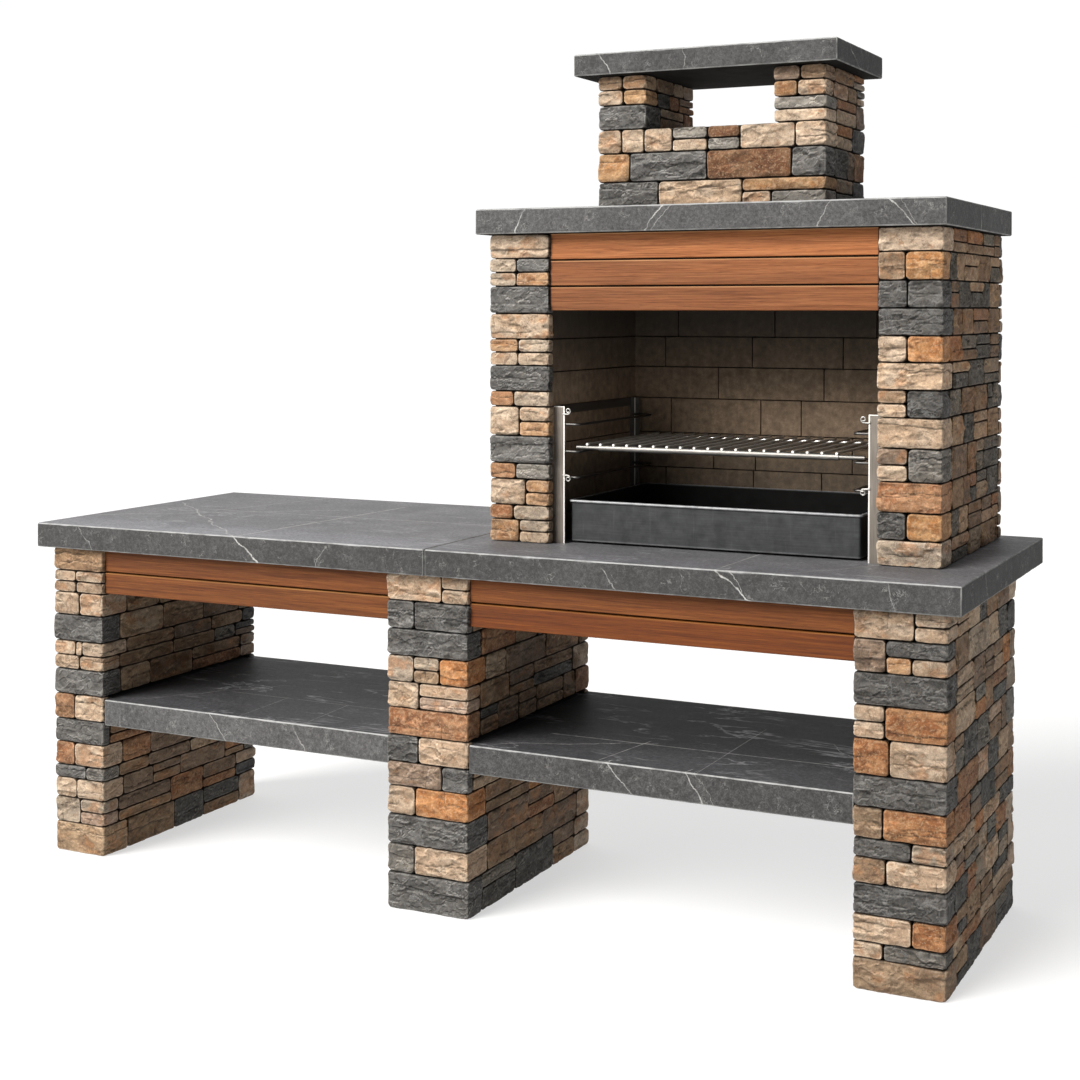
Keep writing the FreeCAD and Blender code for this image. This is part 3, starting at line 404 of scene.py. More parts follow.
def stone_geometry(st, index, res):
    """Closed mesh of one split stone, in millimetres of the layout frame."""
    rng = Rng(7000 + 13 * index)
    seed = 5000 + index * 97
    code = st["code"]
    slate = code in "dg"
    pts = [np.array(p, float) for p in st["path"]]
    n = len(pts)
    dirs = [(pts[k + 1] - pts[k]) / np.linalg.norm(pts[k + 1] - pts[k]) for k in range(n - 1)]
    depth = st["t"] * 0.92
    rc = rng.u(2.8, 4.6)
    # straight runs and the arcs between them
    segs = []
    s = 0.0
    for k in range(n - 1):
        a = pts[k] + (dirs[k] * rc if k > 0 else 0.0)
        b = pts[k + 1] - (dirs[k] * rc if k < n - 2 else 0.0)
        run = float(np.linalg.norm(b - a))
        segs.append(("line", s, s + run, a, dirs[k], k))
        s += run
        if k < n - 2:
            segs.append(("arc", s, s + rc * math.pi / 2, pts[k + 1], (dirs[k], dirs[k + 1]), k))
            s += rc * math.pi / 2
    total = s
    height = st["z1"] - st["z0"]
    ss = list(spaced(total, res))
    arcs = [seg for seg in segs if seg[0] == "arc"]
    for seg in arcs:
        ss += list(np.linspace(seg[1], seg[2], 5)) + [seg[1] - 2.0, seg[2] + 2.0]
    ss = sorted(ss)
    keep = [ss[0]]
    for v in ss[1:]:
        if v - keep[-1] > 0.45:
            keep.append(v)
    keep[-1] = total
    ss = np.array(keep)
    zz = np.array(spaced(height, res))
    ns, nt = len(ss), len(zz)
    P, N, T, Q = np.zeros((ns, 2)), np.zeros((ns, 2)), np.zeros((ns, 2)), np.zeros((ns, 2))
    for i, v in enumerate(ss):
        for seg in segs:
            if seg[1] - 1e-6 <= v <= seg[2] + 1e-6:
                break
        if seg[0] == "line":
            _, s0, s1, a, d, k = seg
            p = a + d * (v - s0)
            nrm = np.array([d[1], -d[0]])
            along = float(np.dot(p - pts[k], d))
            full = float(np.linalg.norm(pts[k + 1] - pts[k]))
            lo = depth if k > 0 else 0.0
            hi = full - (depth if k < n - 2 else 0.0)
            if hi < lo:
                lo = hi = 0.5 * (lo + hi)
            al = min(max(along, lo), hi)
            P[i], N[i], T[i] = p, nrm, d
            Q[i] = pts[k] + d * al - nrm * depth
        else:
            _, s0, s1, c, (d1, d2), k = seg
            f = (v - s0) / max(1e-9, s1 - s0) * math.pi / 2
            centre = c - d1 * rc + d2 * rc
            nrm = -d2 * math.cos(f) + d1 * math.sin(f)
            P[i], N[i] = centre + nrm * rc, nrm
            T[i] = d1 * math.cos(f) + d2 * math.sin(f)
            n1, n2 = np.array([d1[1], -d1[0]]), np.array([d2[1], -d2[0]])
            Q[i] = c - n1 * depth - n2 * depth
    S, Z = np.meshgrid(ss, zz, indexing="ij")
    off = rng.u(0, 400)
    # rounded corners of the outline
    rk = min(rng.u(6.5, 11.0), 0.32 * height, 0.3 * total)
    es, ez = np.minimum(S, total - S), np.minimum(Z, height - Z)
    a, b = np.clip((rk - es) / rk, 0, 1), np.clip((rk - ez) / rk, 0, 1)
    a2, b2 = a * np.sqrt(1 - b * b / 2), b * np.sqrt(1 - a * a / 2)
    edge = np.where((a > 0) & (b > 0), rk * (1 - np.hypot(a2, b2)), np.minimum(es, ez))
    edge = np.maximum(edge, 0.0)
    half = np.where(Z < height / 2, 1.0, -1.0)
    slide = np.where(S < total / 2, 1.0, -1.0) * (a - a2) * rk
    lift = half * (b - b2) * rk
    # the arris of a corner stone is knocked off at its top and bottom
    knock = np.zeros_like(S)
    for seg in arcs:
        ea = np.maximum(np.abs(S - 0.5 * (seg[1] + seg[2])) - 0.3 * (seg[2] - seg[1]), 0.0)
        ac = np.clip((rk - ea) / rk, 0, 1)
        knock = np.maximum(knock, np.maximum(np.hypot(ac, b) - 1.0, 0.0) / 0.4142)
        lift = lift + half * (b - b * np.sqrt(1 - ac * ac / 2)) * rk * 0.9
    # slightly wavy edges
    lo_n = -0.75 + 1.2 * vnoise(ss / 27.0 + off, 0.3, seed)
    hi_n = -0.75 + 1.2 * vnoise(ss / 25.0 + off, 7.3, seed + 3)
    zpos = st["z0"] + lo_n[:, None] + (Z + lift) / height * (height - (lo_n + hi_n)[:, None])
    e0 = -0.8 + 1.3 * vnoise(zz / 19.0 + off, 3.1, seed + 5)
    e1 = -0.8 + 1.3 * vnoise(zz / 19.0 + off, 9.1, seed + 6)
    slide = slide + np.clip(1 - S / 16.0, 0, 1) * e0[None, :] - np.clip(1 - (total - S) / 16.0, 0, 1) * e1[None, :]
    # rim, with chips here and there
    bite = smooth(0.62, 0.86, vnoise(S / 15.0 + off, Z / 15.0, seed + 8))
    R = np.clip(2.3 + 1.2 * fbm(S / 17.0 + off, Z / 17.0, seed + 9, 2) + 2.4 * bite, 1.4, 5.5)
    R = R * min(1.0, 0.6 + height / 100.0)
    t = np.clip(R - edge, 0, R)
    drop = R - np.sqrt(np.maximum(0, R * R - t * t)) + 0.8 * np.exp(-(edge / 5.5) ** 2) + 4.8 * knock ** 1.2
    # split face: flake scars, shallow bowls that meet in sharp ridges
    big = min(1.1, 0.55 + height / 90.0)
    wx = S + 9.0 * fbm(S / 30.0 + off, Z / 24.0, seed + 10, 3)
    wz = Z + 7.0 * fbm(S / 26.0 + off, Z / 20.0, seed + 13, 3)

    def scars(pitch, deep, tilt, rnd):
        low = np.full_like(S, 1e9)
        for k in range(max(3, int(total * height / (0.75 * pitch * pitch)))):
            cs, cz, w = rnd.u(-0.05, 1.05) * total, rnd.u(-0.15, 1.15) * height, rnd.u(0.7, 1.5)
            du, dv = (wx - cs) / (1.35 * pitch * w), (wz - cz) / (0.75 * pitch * w)
            h = 4.0 * deep * (du * du + dv * dv) + rnd.u(-0.6, 0.6) * deep
            low = np.minimum(low, h + tilt * (rnd.u(-1, 1) * (wx - cs) + rnd.u(-1.6, 1.6) * (wz - cz)))
        return np.clip(low - low.mean(), -3.0, 2.4)

    patch = smooth(-0.25, 0.22, fbm(S / 45.0 + off, Z / 30.0, seed + 18, 2))
    face = scars(60.0, 2.7, 0.06, rng)
    flakes = scars(25.0, 1.2, 0.025, rng) * (0.25 + 0.75 * patch)
    if res < 5.0:
        few = smooth(-0.22, 0.24, fbm(S / 30.0 + off, Z / 22.0, seed + 19, 2))
        flakes = 0.85 * flakes + scars(15.0, 0.72, 0.03, Rng(52000 + 11 * index)) * (0.30 + 0.70 * few)
    lumps = fbm(wx / 14.0 + off, wz / 11.0, seed + 11, 2)
    relief = flakes + 0.55 * lumps
    terr = np.zeros_like(S)
    if slate:
        field = 1.8 * fbm(wx / 62.0 + off, wz / 25.0, seed + 16, 3) + 0.02 * (wz - height / 2) * rng.u(-1, 1)
        fl = np.floor(field)
        terr = 1.2 * (fl + smooth(0.44, 0.58, field - fl))
        relief = relief + terr
    # beds that break back in steps, with a dark line along the break
    ledge = np.zeros_like(S)
    crack = np.zeros_like(S)
    n_ledge = 0
    if height > 26:
        n_ledge = (1 if rng.r() < 0.6 else 0) + (1 if (height > 48 and rng.r() < 0.5) else 0)
    for k in range(n_ledge):
        zc = height * rng.u(0.22, 0.80)
        a0, a1 = rng.u(-0.25, 0.5) * total, rng.u(0.45, 1.2) * total
        line = zc + rng.u(-0.06, 0.06) * (S - total / 2) + 4.6 * fbm(S / 34.0 + off, 11.0 + k, seed + 17 + k, 3)
        fade = smooth(a0 - 10, a0 + 10, S) * (1 - smooth(a1 - 10, a1 + 10, S))
        step = rng.u(0.9, 2.6) * (1 if rng.r() < 0.7 else -1)
        ledge = ledge - step * smooth(-1.0, 1.0, Z - line) * fade
        crack = np.maximum(crack, np.exp(-((Z - line) / 1.15) ** 2) * fade)
    # now and then a short upright crack
    if rng.r() < 0.22 and total > 60:
        sc = rng.u(0.2, 0.8) * total
        top = rng.r() < 0.5
        line = sc + 2.2 * fbm(Z / 14.0 + off, 23.0, seed + 41, 2)
        fade = smooth(0.35, 0.6, Z / height) if top else 1 - smooth(0.3, 0.5, Z / height)
        crack = np.maximum(crack, 0.9 * np.exp(-((S - line) / 1.1) ** 2) * fade)
    # where the face is creased outward or inward, and where it leans up; these drive painted highlights on the crests,
    # painted shade in the hollows, and painted light and shade on faces that lean up and down
    sharp = face + (flakes + terr) * big + ledge
    hs, hz = np.diff(ss), np.diff(zz)
    su, sv = np.diff(sharp, axis=0) / hs[:, None], np.diff(sharp, axis=1) / hz[None, :]
    bend = np.zeros_like(S)
    bend[1:-1] += np.diff(su, axis=0) / (0.5 * (hs[1:] + hs[:-1]))[:, None]
    bend[:, 1:-1] += np.diff(sv, axis=1) / (0.5 * (hz[1:] + hz[:-1]))[None, :]
    crest_highlight, hollow_shade = smooth(0.08, 0.24, -bend), smooth(0.06, 0.18, bend)
    slope_light = np.zeros_like(S)
    soft = 0.45 * face + (flakes + terr) * big + ledge
    slope_light[:, :-1] = np.clip(-np.diff(soft, axis=1) / hz[None, :], -0.36, 0.36)
    bulge = 1.2 * (1 - (2 * S / total - 1) ** 4) * (1 - (2 * Z / height - 1) ** 4)
    inner = 0.25 + 0.75 * smooth(0.5, 7.0, edge)
    near = np.ones_like(S)
    for seg in arcs:
        near = np.minimum(near, 0.45 + 0.55 * smooth(0.0, 12.0, np.abs(S - 0.5 * (seg[1] + seg[2])) - 3.0))
    offset = (face + relief * big + ledge) * inner * near + bulge * near - 1.7 * crack * inner - drop
    offset = np.minimum(offset, 4.2)
    XY = P[:, None, :] + N[:, None, :] * offset[..., None] + T[:, None, :] * slide[..., None]
    front = np.concatenate([XY, zpos[..., None]], -1).reshape(-1, 3)
    front[:, 2] = np.maximum(front[:, 2], 0.0)
    back_lo = np.concatenate([Q, np.maximum(st["z0"] + lo_n + 0.4, 0.0)[:, None]], 1)
    back_hi = np.concatenate([Q, (st["z1"] - hi_n - 0.4)[:, None]], 1)
    verts = np.concatenate([front, back_lo, back_hi])
    g = np.arange(ns * nt).reshape(ns, nt)
    bl = ns * nt + np.arange(ns)
    bh = ns * nt + ns + np.arange(ns)
    quads = [np.stack([g[:-1, :-1], g[1:, :-1], g[1:, 1:], g[:-1, 1:]], -1).reshape(-1, 4)]
    quads.append(np.stack([bl[:-1], bl[1:], g[1:, 0], g[:-1, 0]], -1))
    quads.append(np.stack([g[:-1, -1], g[1:, -1], bh[1:], bh[:-1]], -1))
    quads.append(np.stack([bh[:-1], bh[1:], bl[1:], bl[:-1]], -1))
    quads = np.concatenate(quads)
    mid = nt // 2
    tris = []
    for j in range(nt - 1):
        b0 = bl[0] if j < mid else bh[0]
        b1 = bl[-1] if j < mid else bh[-1]
        tris.append((g[0, j], g[0, j + 1], b0))
        tris.append((g[-1, j + 1], g[-1, j], b1))
    tris.append((g[0, mid], bh[0], bl[0]))
    tris.append((bh[-1], g[-1, mid], bl[-1]))
    # colour: main, second and accent tones in patches and dark cracks; paler rims, partly wear and partly painted
    # highlight; paler ridges as painted highlight, darker hollows as painted shade
    A, B, C = (c / LIT for c in STONE_COLOURS[code])
    warm = code in "or"
    m1 = smooth(-0.30, 0.35, fbm(wx / 48.0 + off, wz / 30.0, seed + 21, 3) + rng.u(-0.3, 0.3))
    m2 = smooth(0.06, 0.36, fbm(wx / 25.0 + off, wz / 15.0, seed + 22, 3) + rng.u(-0.20, 0.18))
    m3 = smooth(0.26, 0.50, fbm(wx / 9.0 + off, wz / 7.0, seed + 25, 2))
    col = A * (1 - m1[..., None]) + B * m1[..., None]
    w2 = 0.46 if warm else 0.28
    col = col * (1 - w2 * m2[..., None]) + C * (w2 * m2[..., None])
    pale = B * 1.15 + 0.15 / LIT * np.array([1.0, 0.97, 0.93])
    if warm:
        pale = B * 1.1 + 0.12 / LIT * np.array([1.0, 0.80, 0.60])
    if slate:
        pale = B * 1.28 + 0.125 / LIT
    w3 = 0.62 if warm else 0.12
    col = col * (1 - w3 * m3[..., None]) + pale * (w3 * m3[..., None])
    if not (slate or warm):
        pick = Rng(31000 + 7 * index)
        stain = smooth(0.10, 0.55, fbm(wx / 34.0 + off, wz / 19.0, seed + 33, 3) + pick.u(-0.45, 0.22))
        rust = lin(176, 126, 86) / LIT
        col = col * (1 - 0.55 * stain[..., None]) + rust * (0.55 * stain[..., None])
    tone = 1.0 + 0.10 * fbm(S / 60.0 + off, Z / 10.0, seed + 23, 3)
    # painted light and shade: faces that lean up are made lighter, faces that lean down darker
    tone = tone * rng.u(0.88, 1.10) * (1 + (0.62 if warm else (1.45 if slate else 1.05)) * slope_light + 0.09 * lumps)
    # pale rims round the outline: partly wear, partly a painted highlight
    wear_and_highlight = 0.40 + 0.60 * smooth(0.25, 0.65, vnoise(S / 12.0 + off, Z / 12.0, seed + 28))
    rim = np.exp(-((edge - 2.0) / 1.2) ** 2) * wear_and_highlight
    for seg in arcs:
        rim = np.maximum(rim, 0.9 * wear_and_highlight * np.exp(-((S - 0.5 * (seg[1] + seg[2])) / 2.4) ** 2))
    gate = 0.30 + 0.70 * smooth(-0.15, 0.30, fbm(wx / 33.0 + off, wz / 33.0, seed + 27, 2))
    # painted highlight along the outward creases
    rim = np.maximum(rim, crest_highlight * gate * (0.86 if slate else 0.66))
    col = col * (1 - 0.74 * rim[..., None]) + pale * (0.74 * rim[..., None])
    # dark cracks, and painted shade in the hollows
    tone = tone * (1 - 0.74 * crack) * (1 - (0.34 if warm else (0.60 if slate else 0.48)) * hollow_shade * (0.4 + 0.6 * gate))
    col = np.clip(col * tone[..., None], 0.002, 0.9) * np.array(st.get("tint", (1.0, 1.0, 1.0)))
    # painted shade: darker where the face turns into the joint and along the stone's bottom
    painted_shade = (1 - 0.75 * np.exp(-(edge / 0.45) ** 2)) * (1 - 0.22 * np.exp(-(Z / 7.0) ** 2))
    # painted shadow on the faces turned toward the firebox, above the bottom of the fascia boards
    if "gap_z" in st:
        painted_shade = painted_shade * (1 - 0.88 * smooth(0.35, 0.80, N[:, 0])[:, None] * smooth(st["gap_z"] - 2.0, st["gap_z"] + 2.0, zpos))
    col = col * painted_shade[..., None]
    # the backs, and the sides that run back to them in the joints, are darkened: painted shade between the stones
    back_c = np.repeat((A * 0.2)[None, :], 2 * ns, 0)
    cols = np.concatenate([col.reshape(-1, 3), back_c])
    kind = np.full(len(verts), 1.0 if slate else (0.5 if code in "or" else 0.0))
    return verts, quads, np.array(tris), cols, kind


def add_mesh(name, v, q, t, colour=None, edge=None, kind=None):
    me = bpy.data.meshes.new(name)
    me.vertices.add(len(v))
    me.vertices.foreach_set("co", v.astype(np.float32).ravel())
    loops = q.ravel() if len(t) == 0 else np.concatenate([q.ravel(), t.ravel()])
    me.loops.add(len(loops))
    me.loops.foreach_set("vertex_index", loops.astype(np.int32))
    starts = np.concatenate([np.arange(len(q)) * 4, len(q) * 4 + np.arange(len(t)) * 3]).astype(np.int32)
    me.polygons.add(len(starts))
    me.polygons.foreach_set("loop_start", starts)
    me.polygons.foreach_set("use_smooth", np.ones(len(starts), bool))
    if colour is not None:
        at = me.color_attributes.new("stone_colour", "FLOAT_COLOR", "POINT")
        at.data.foreach_set("color", np.concatenate([colour, np.ones((len(colour), 1))], 1).astype(np.float32).ravel())
    if edge is not None:
        at = me.attributes.new("edge", "FLOAT", "POINT")
        at.data.foreach_set("value", edge.astype(np.float32))
    if kind is not None:
        at = me.attributes.new("kind", "FLOAT", "POINT")
        at.data.foreach_set("value", kind.astype(np.float32))
    me.update(calc_edges=True)
    me.validate()
    ob = bpy.data.objects.new(name, me)
    bpy.context.scene.collection.objects.link(ob)
    return ob


def mortar_post(x, y, sx, sy, z0, z1, a=8.5):
    """Dark mortar behind a corner of the facing; sx, sy point into the wall."""
    c, d = 6.0, 30.0
    loop = [(a + c, a), (d, a), (d, d), (a, d), (a, a + c)]
    pts = [(x + sx * u, y + sy * w) for u, w in loop]
    if sx * sy < 0:
        pts = pts[::-1]
    v = np.array([(px, py, z) for z in (z0, z1) for px, py in pts])
    q = np.array([(k, (k + 1) % 5, 5 + (k + 1) % 5, 5 + k) for k in range(5)] + [(3, 2, 1, 0), (5, 6, 7, 8)])
    t = np.array([(4, 3, 0), (9, 5, 8)])
    return v, q, t, np.tile(np.array([[0.012, 0.010, 0.008]]), (10, 1)), np.zeros(10)


def build_stones(name, stones, node, posts=()):
    V, Q3, T3, C3, K3 = [], [], [], [], []
    base = 0
    parts = [stone_geometry(st, idx, res) for idx, st, res in stones] + [mortar_post(*post) for post in posts]
    for v, q, t, c, kind in parts:
        K3.append(kind)
        V.append(v)
        Q3.append(q + base)
        T3.append(t + base)
        C3.append(c)
        base += len(v)
    v = (np.concatenate(V) - np.array([OX, OY, 0.0])) / 1000.0
    ob = add_mesh(name, v, np.concatenate(Q3), np.concatenate(T3), np.concatenate(C3), kind=np.concatenate(K3))
    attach(ob, "masonry")
    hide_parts(node)
    return ob


# ---------------------------------------------------------------------- slabs
def marks(lo, hi, r, cell, extra=()):
    n = max(1, int(math.ceil((hi - lo - 2 * r) / cell)))
    core = sorted(set([round(x, 6) for x in np.linspace(lo + r, hi - r, n + 1)] + [round(x, 6) for x in extra]))
    return np.array([lo, lo + 0.3 * r, lo + 0.62 * r] + core + [hi - 0.62 * r, hi - 0.3 * r, hi])


def slab_arrays(lo, hi, r, cell, seed, hole=None, wear=1.0):
    """Rounded block with uneven sides and small chips along its arrises (metres)."""
    ex = (hole[0], hole[1]) if hole else ()
    ey = (hole[2], hole[3]) if hole else ()
    X, Y, Z = marks(lo[0], hi[0], r, cell[0], ex), marks(lo[1], hi[1], r, cell[1], ey), marks(lo[2], hi[2], r, cell[2])
    nx, ny, nz = len(X), len(Y), len(Z)

    def vid(i, j, k):
        return (i * ny + j) * nz + k

    quads = []
    I, J = np.meshgrid(np.arange(nx - 1), np.arange(ny - 1), indexing="ij")
    keep = np.ones(I.shape, bool)
    if hole:
        mx, my = 0.5 * (X[:-1] + X[1:]), 0.5 * (Y[:-1] + Y[1:])
        keep = ~(((mx > hole[0]) & (mx < hole[1]))[:, None] & ((my > hole[2]) & (my < hole[3]))[None, :])
    I, J = I[keep], J[keep]
    for k, up in ((nz - 1, True), (0, False)):
        a = [vid(I, J, k), vid(I + 1, J, k), vid(I + 1, J + 1, k), vid(I, J + 1, k)]
        quads.append(np.stack(a if up else a[::-1], -1).reshape(-1, 4))
    J, K = np.meshgrid(np.arange(ny - 1), np.arange(nz - 1), indexing="ij")
    for i, up in ((nx - 1, True), (0, False)):
        a = [vid(i, J, K), vid(i, J + 1, K), vid(i, J + 1, K + 1), vid(i, J, K + 1)]
        quads.append(np.stack(a if up else a[::-1], -1).reshape(-1, 4))
    I, K = np.meshgrid(np.arange(nx - 1), np.arange(nz - 1), indexing="ij")
    for j, up in ((ny - 1, True), (0, False)):
        a = [vid(I, j, K), vid(I, j, K + 1), vid(I + 1, j, K + 1), vid(I + 1, j, K)]
        quads.append(np.stack(a if up else a[::-1], -1).reshape(-1, 4))
    if hole:
        i0, i1 = [int(np.argmin(np.abs(X - h))) for h in hole[:2]]
        j0, j1 = [int(np.argmin(np.abs(Y - h))) for h in hole[2:]]
        i = np.arange(i0, i1)
        for j, up in ((j0, True), (j1, False)):
            a = [vid(i, j, nz - 1), vid(i + 1, j, nz - 1), vid(i + 1, j, 0), vid(i, j, 0)]
            quads.append(np.stack(a if up else a[::-1], -1))
        j = np.arange(j0, j1)
        for i, up in ((i0, False), (i1, True)):
            a = [vid(i, j, nz - 1), vid(i, j + 1, nz - 1), vid(i, j + 1, 0), vid(i, j, 0)]
            quads.append(np.stack(a if up else a[::-1], -1))
    q = np.concatenate(quads)
    used, inv = np.unique(q, return_inverse=True)
    q = inv.reshape(q.shape)
    p = np.stack([X[used // (ny * nz)], Y[(used // nz) % ny], Z[used % nz]], -1)
    lo, hi = np.array(lo, float), np.array(hi, float)
    core = np.clip(p, lo + r, hi - r)
    d = p - core
    length = np.linalg.norm(d, axis=1)
    d = d / np.maximum(length, 1e-9)[:, None]
    along = p[:, 0] + p[:, 1]
    big = np.sort(np.abs(d), axis=1)
    arris = np.clip(big[:, 1] * 1.6, 0, 1)
    chip = smooth(0.56, 0.80, vnoise(along / 0.016 + 3.7 * seed, p[:, 2] / 0.03, seed)) * arris
    side = 1 - np.clip(np.abs(d[:, 2]) * 1.3, 0, 1)
    u = np.where(np.abs(d[:, 0]) > np.abs(d[:, 1]), p[:, 1], p[:, 0])
    uneven = 0.00042 * fbm(u / 0.022 + 1.7 * seed, p[:, 2] / 0.018, seed + 3, 3) * side
    uneven = uneven + 0.00012 * fbm(p[:, 0] / 0.12 + seed, p[:, 1] / 0.12, seed + 5, 2) * np.abs(d[:, 2])
    move = np.minimum(uneven, 0.0002) - 0.0010 * wear * chip * vnoise(along / 0.03, 0.5, seed + 9)
    p = core + d * (r + move)[:, None]
    # pale arrises: partly wear, partly a painted highlight
    wear_and_highlight = arris * (0.45 + 0.55 * vnoise(along / 0.02 + 9.3 * seed, p[:, 2] / 0.02, seed + 11))
    return p, q, wear_and_highlight


def build_slab(name, node, blocks, mat, seed, hole=None, cell=(0.010, 0.016, 0.007), under=None):
    V, Q, E = [], [], []
    base = 0
    for n, (lo, hi) in enumerate(blocks):
        v, q, e = slab_arrays(lo, hi, 0.0036 if n == 0 else 0.002, cell if n == 0 else (0.04, 0.06, 0.03), seed + n,
                              hole if n == 0 else None)
        V.append(v)
        Q.append(q + base)
        E.append(e)
        base += len(v)
    ob = add_mesh(name, np.concatenate(V), np.concatenate(Q), np.zeros((0, 3), int), edge=np.concatenate(E))
    ob.data.materials.append(mat)
    # downward faces get the under material: painted shade under the slab
    if under is not None:
        ob.data.materials.append(under)
        for f in ob.data.polygons:
            if f.normal.z < -0.9:
                f.material_index = 1
    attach(ob, "masonry")
    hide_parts(node)
    return ob


# ------------------------------------------------------------ tray and hooks
def ring(x0, x1, y0, y1, r, n=6):
    """Rounded rectangle, anticlockwise from above."""
    out = []
    for cx, cy, a in ((x1 - r, y0 + r, -90), (x1 - r, y1 - r, 0), (x0 + r, y1 - r, 90), (x0 + r, y0 + r, 180)):
        for k in range(n + 1):
            t = math.radians(a + 90.0 * k / n)
            out.append((cx + r * math.cos(t), cy + r * math.sin(t)))
    return out


def build_tray(node):
    """Folded pan with bends at the bottom and a rolled rim; same walls as the model's."""
    x0, x1, y0, y1 = 1400.0, 2096.0, 252.0, 702.0
    # outward offset from the outer wall, height, rubbed bright with a painted highlight, soot with painted shade
    # inside, flat shading from here to the next
    prof = [(-3.2, 855.0, 0.15, 0, 0), (-1.6, 855.25, 0.25, 0, 0), (-0.5, 856.2, 0.45, 0, 0), (0.0, 858.0, 0.35, 0, 0),
            (0.0, 860.0, 0.0, 0, 1), (0.0, 943.8, 0.0, 0, 0), (0.1, 945.4, 0.0, 0, 0), (1.2, 945.9, 0.3, 0, 0),
            (3.4, 946.2, 0.8, 0, 0), (4.7, 947.4, 1.0, 0, 0), (5.0, 949.0, 1.0, 0, 0), (4.7, 950.6, 1.0, 0, 0),
            (3.4, 951.8, 1.0, 0, 0), (1.4, 952.0, 0.9, 0, 0), (-0.6, 951.9, 0.7, 0, 0), (-1.7, 951.2, 0.5, 0.3, 0),
            (-2.0, 949.8, 0.1, 0.8, 0), (-2.0, 947.5, 0.0, 1, 1), (-2.0, 862.5, 0.0, 1, 0), (-2.3, 859.6, 0.0, 1, 0),
            (-3.4, 857.8, 0.0, 1, 0), (-5.6, 857.0, 0.0, 1, 0)]
    V, E, S, Q, flat = [], [], [], [], []
    for off, z, rub_and_highlight, soot_and_shade, _ in prof:
        loop = ring(x0 - off, x1 + off, y0 - off, y1 + off, max(1.5, 5.0 + off))
        V += [((x - OX) / 1000.0, (y - OY) / 1000.0, z / 1000.0) for x, y in loop]
        E += [rub_and_highlight] * len(loop)
        S += [soot_and_shade] * len(loop)
    n = len(V) // len(prof)
    for k in range(len(prof) - 1):
        for i in range(n):
            j = (i + 1) % n
            Q.append((k * n + i, k * n + j, (k + 1) * n + j, (k + 1) * n + i))
            flat.append(prof[k][4] == 1 and i % 7 == 6)
    me = bpy.data.meshes.new(node + "_pan")
    last = (len(prof) - 1) * n
    me.from_pydata(V, [], Q + [tuple(range(n))[::-1], tuple(last + i for i in range(n))])
    for f, poly in enumerate(me.polygons):
        poly.use_smooth = not (f >= len(Q) or flat[f])
    for name, val in (("edge", E), ("soot_and_shade", S)):
        me.attributes.new(name, "FLOAT", "POINT").data.foreach_set("value", np.array(val, np.float32))
    me.update()
    ob = bpy.data.objects.new(node + "_pan", me)
    bpy.context.scene.collection.objects.link(ob)
    me.materials.append(tray_mat)
    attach(ob, "ember_tray_body")
    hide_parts(node)


def tube(path, radius, sides=12):
    """Round wire along a path, with domed ends."""
    path = [np.array(p, float) for p in path]
    tang = [path[min(k + 1, len(path) - 1)] - path[max(k - 1, 0)] for k in range(len(path))]
    tang = [t / np.linalg.norm(t) for t in tang]
    up = np.array([0.0, 1.0, 0.0]) if abs(tang[0][1]) < 0.9 else np.array([1.0, 0.0, 0.0])
    rings = []
    for k, (p, t) in enumerate(zip(path, tang)):
        up = up - t * np.dot(up, t)
        up = up / np.linalg.norm(up)
        rings.append((p, t, up, np.cross(t, up), 1.0))
    head, tail = rings[0], rings[-1]
    dome = [(0.97, 0.25), (0.80, 0.60), (0.45, 0.89)]
    start = [(head[0] - head[1] * radius * d, head[1], head[2], head[3], w) for w, d in dome[::-1]]
    end = [(tail[0] + tail[1] * radius * d, tail[1], tail[2], tail[3], w) for w, d in dome]
    V, Q = [], []
    every = start + rings + end
    for p, t, u, w, k in every:
        for i in range(sides):
            a = 2 * math.pi * i / sides
            V.append(tuple(p + radius * k * (u * math.cos(a) + w * math.sin(a))))
    for r in range(len(every) - 1):
        for i in range(sides):
            j = (i + 1) % sides
            Q.append((r * sides + i, r * sides + j, (r + 1) * sides + j, (r + 1) * sides + i))
    top = (len(every) - 1) * sides
    return V, Q + [tuple(range(sides))[::-1], tuple(top + i for i in range(sides))]


def build_hooks(node):
    """Pigtails of bent wire on a front upright: a shank along the flange, then an open curl."""
    left = node.startswith("left")
    sgn = 1.0 if left else -1.0
    tip = (FB_IN[0] if left else FB_IN[1]) + sgn * 27.0
    V, F = [], []
    for z, way in ((1152.0, 1.0), (1011.0, -1.0)):
        path = [(tip + sgn * k, 232.8, z + way * 0.9) for k in (-3.0, -1.0, 1.0, 3.5)]
        cx, cz = tip + sgn * 9.5, z + way * 8.0
        for k in range(1, 33):
            t = k / 32.0
            ang = math.radians(-95.0 + 395.0 * t)
            r = 7.0 * (1.0 - 0.50 * t)
            path.append((cx + sgn * (r * math.cos(ang) + 2.0 * t), 232.8 - 1.2 * t, cz + way * (r * math.sin(ang) + 1.2 * t)))
        pts = [((x - OX) / 1000.0, (y - OY) / 1000.0, zz / 1000.0) for x, y, zz in path]
        v, f = tube(pts, 0.0018)
        F += [tuple(i + len(V) for i in q) for q in f]
        V += v
    me = bpy.data.meshes.new(node + "_wire")
    me.from_pydata(V, [], F)
    for poly in me.polygons:
        poly.use_smooth = True
    me.update()
    ob = bpy.data.objects.new(node + "_wire", me)
    bpy.context.scene.collection.objects.link(ob)
    me.materials.append(hook_mat)
    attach(ob, "masonry")
    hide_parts(node)


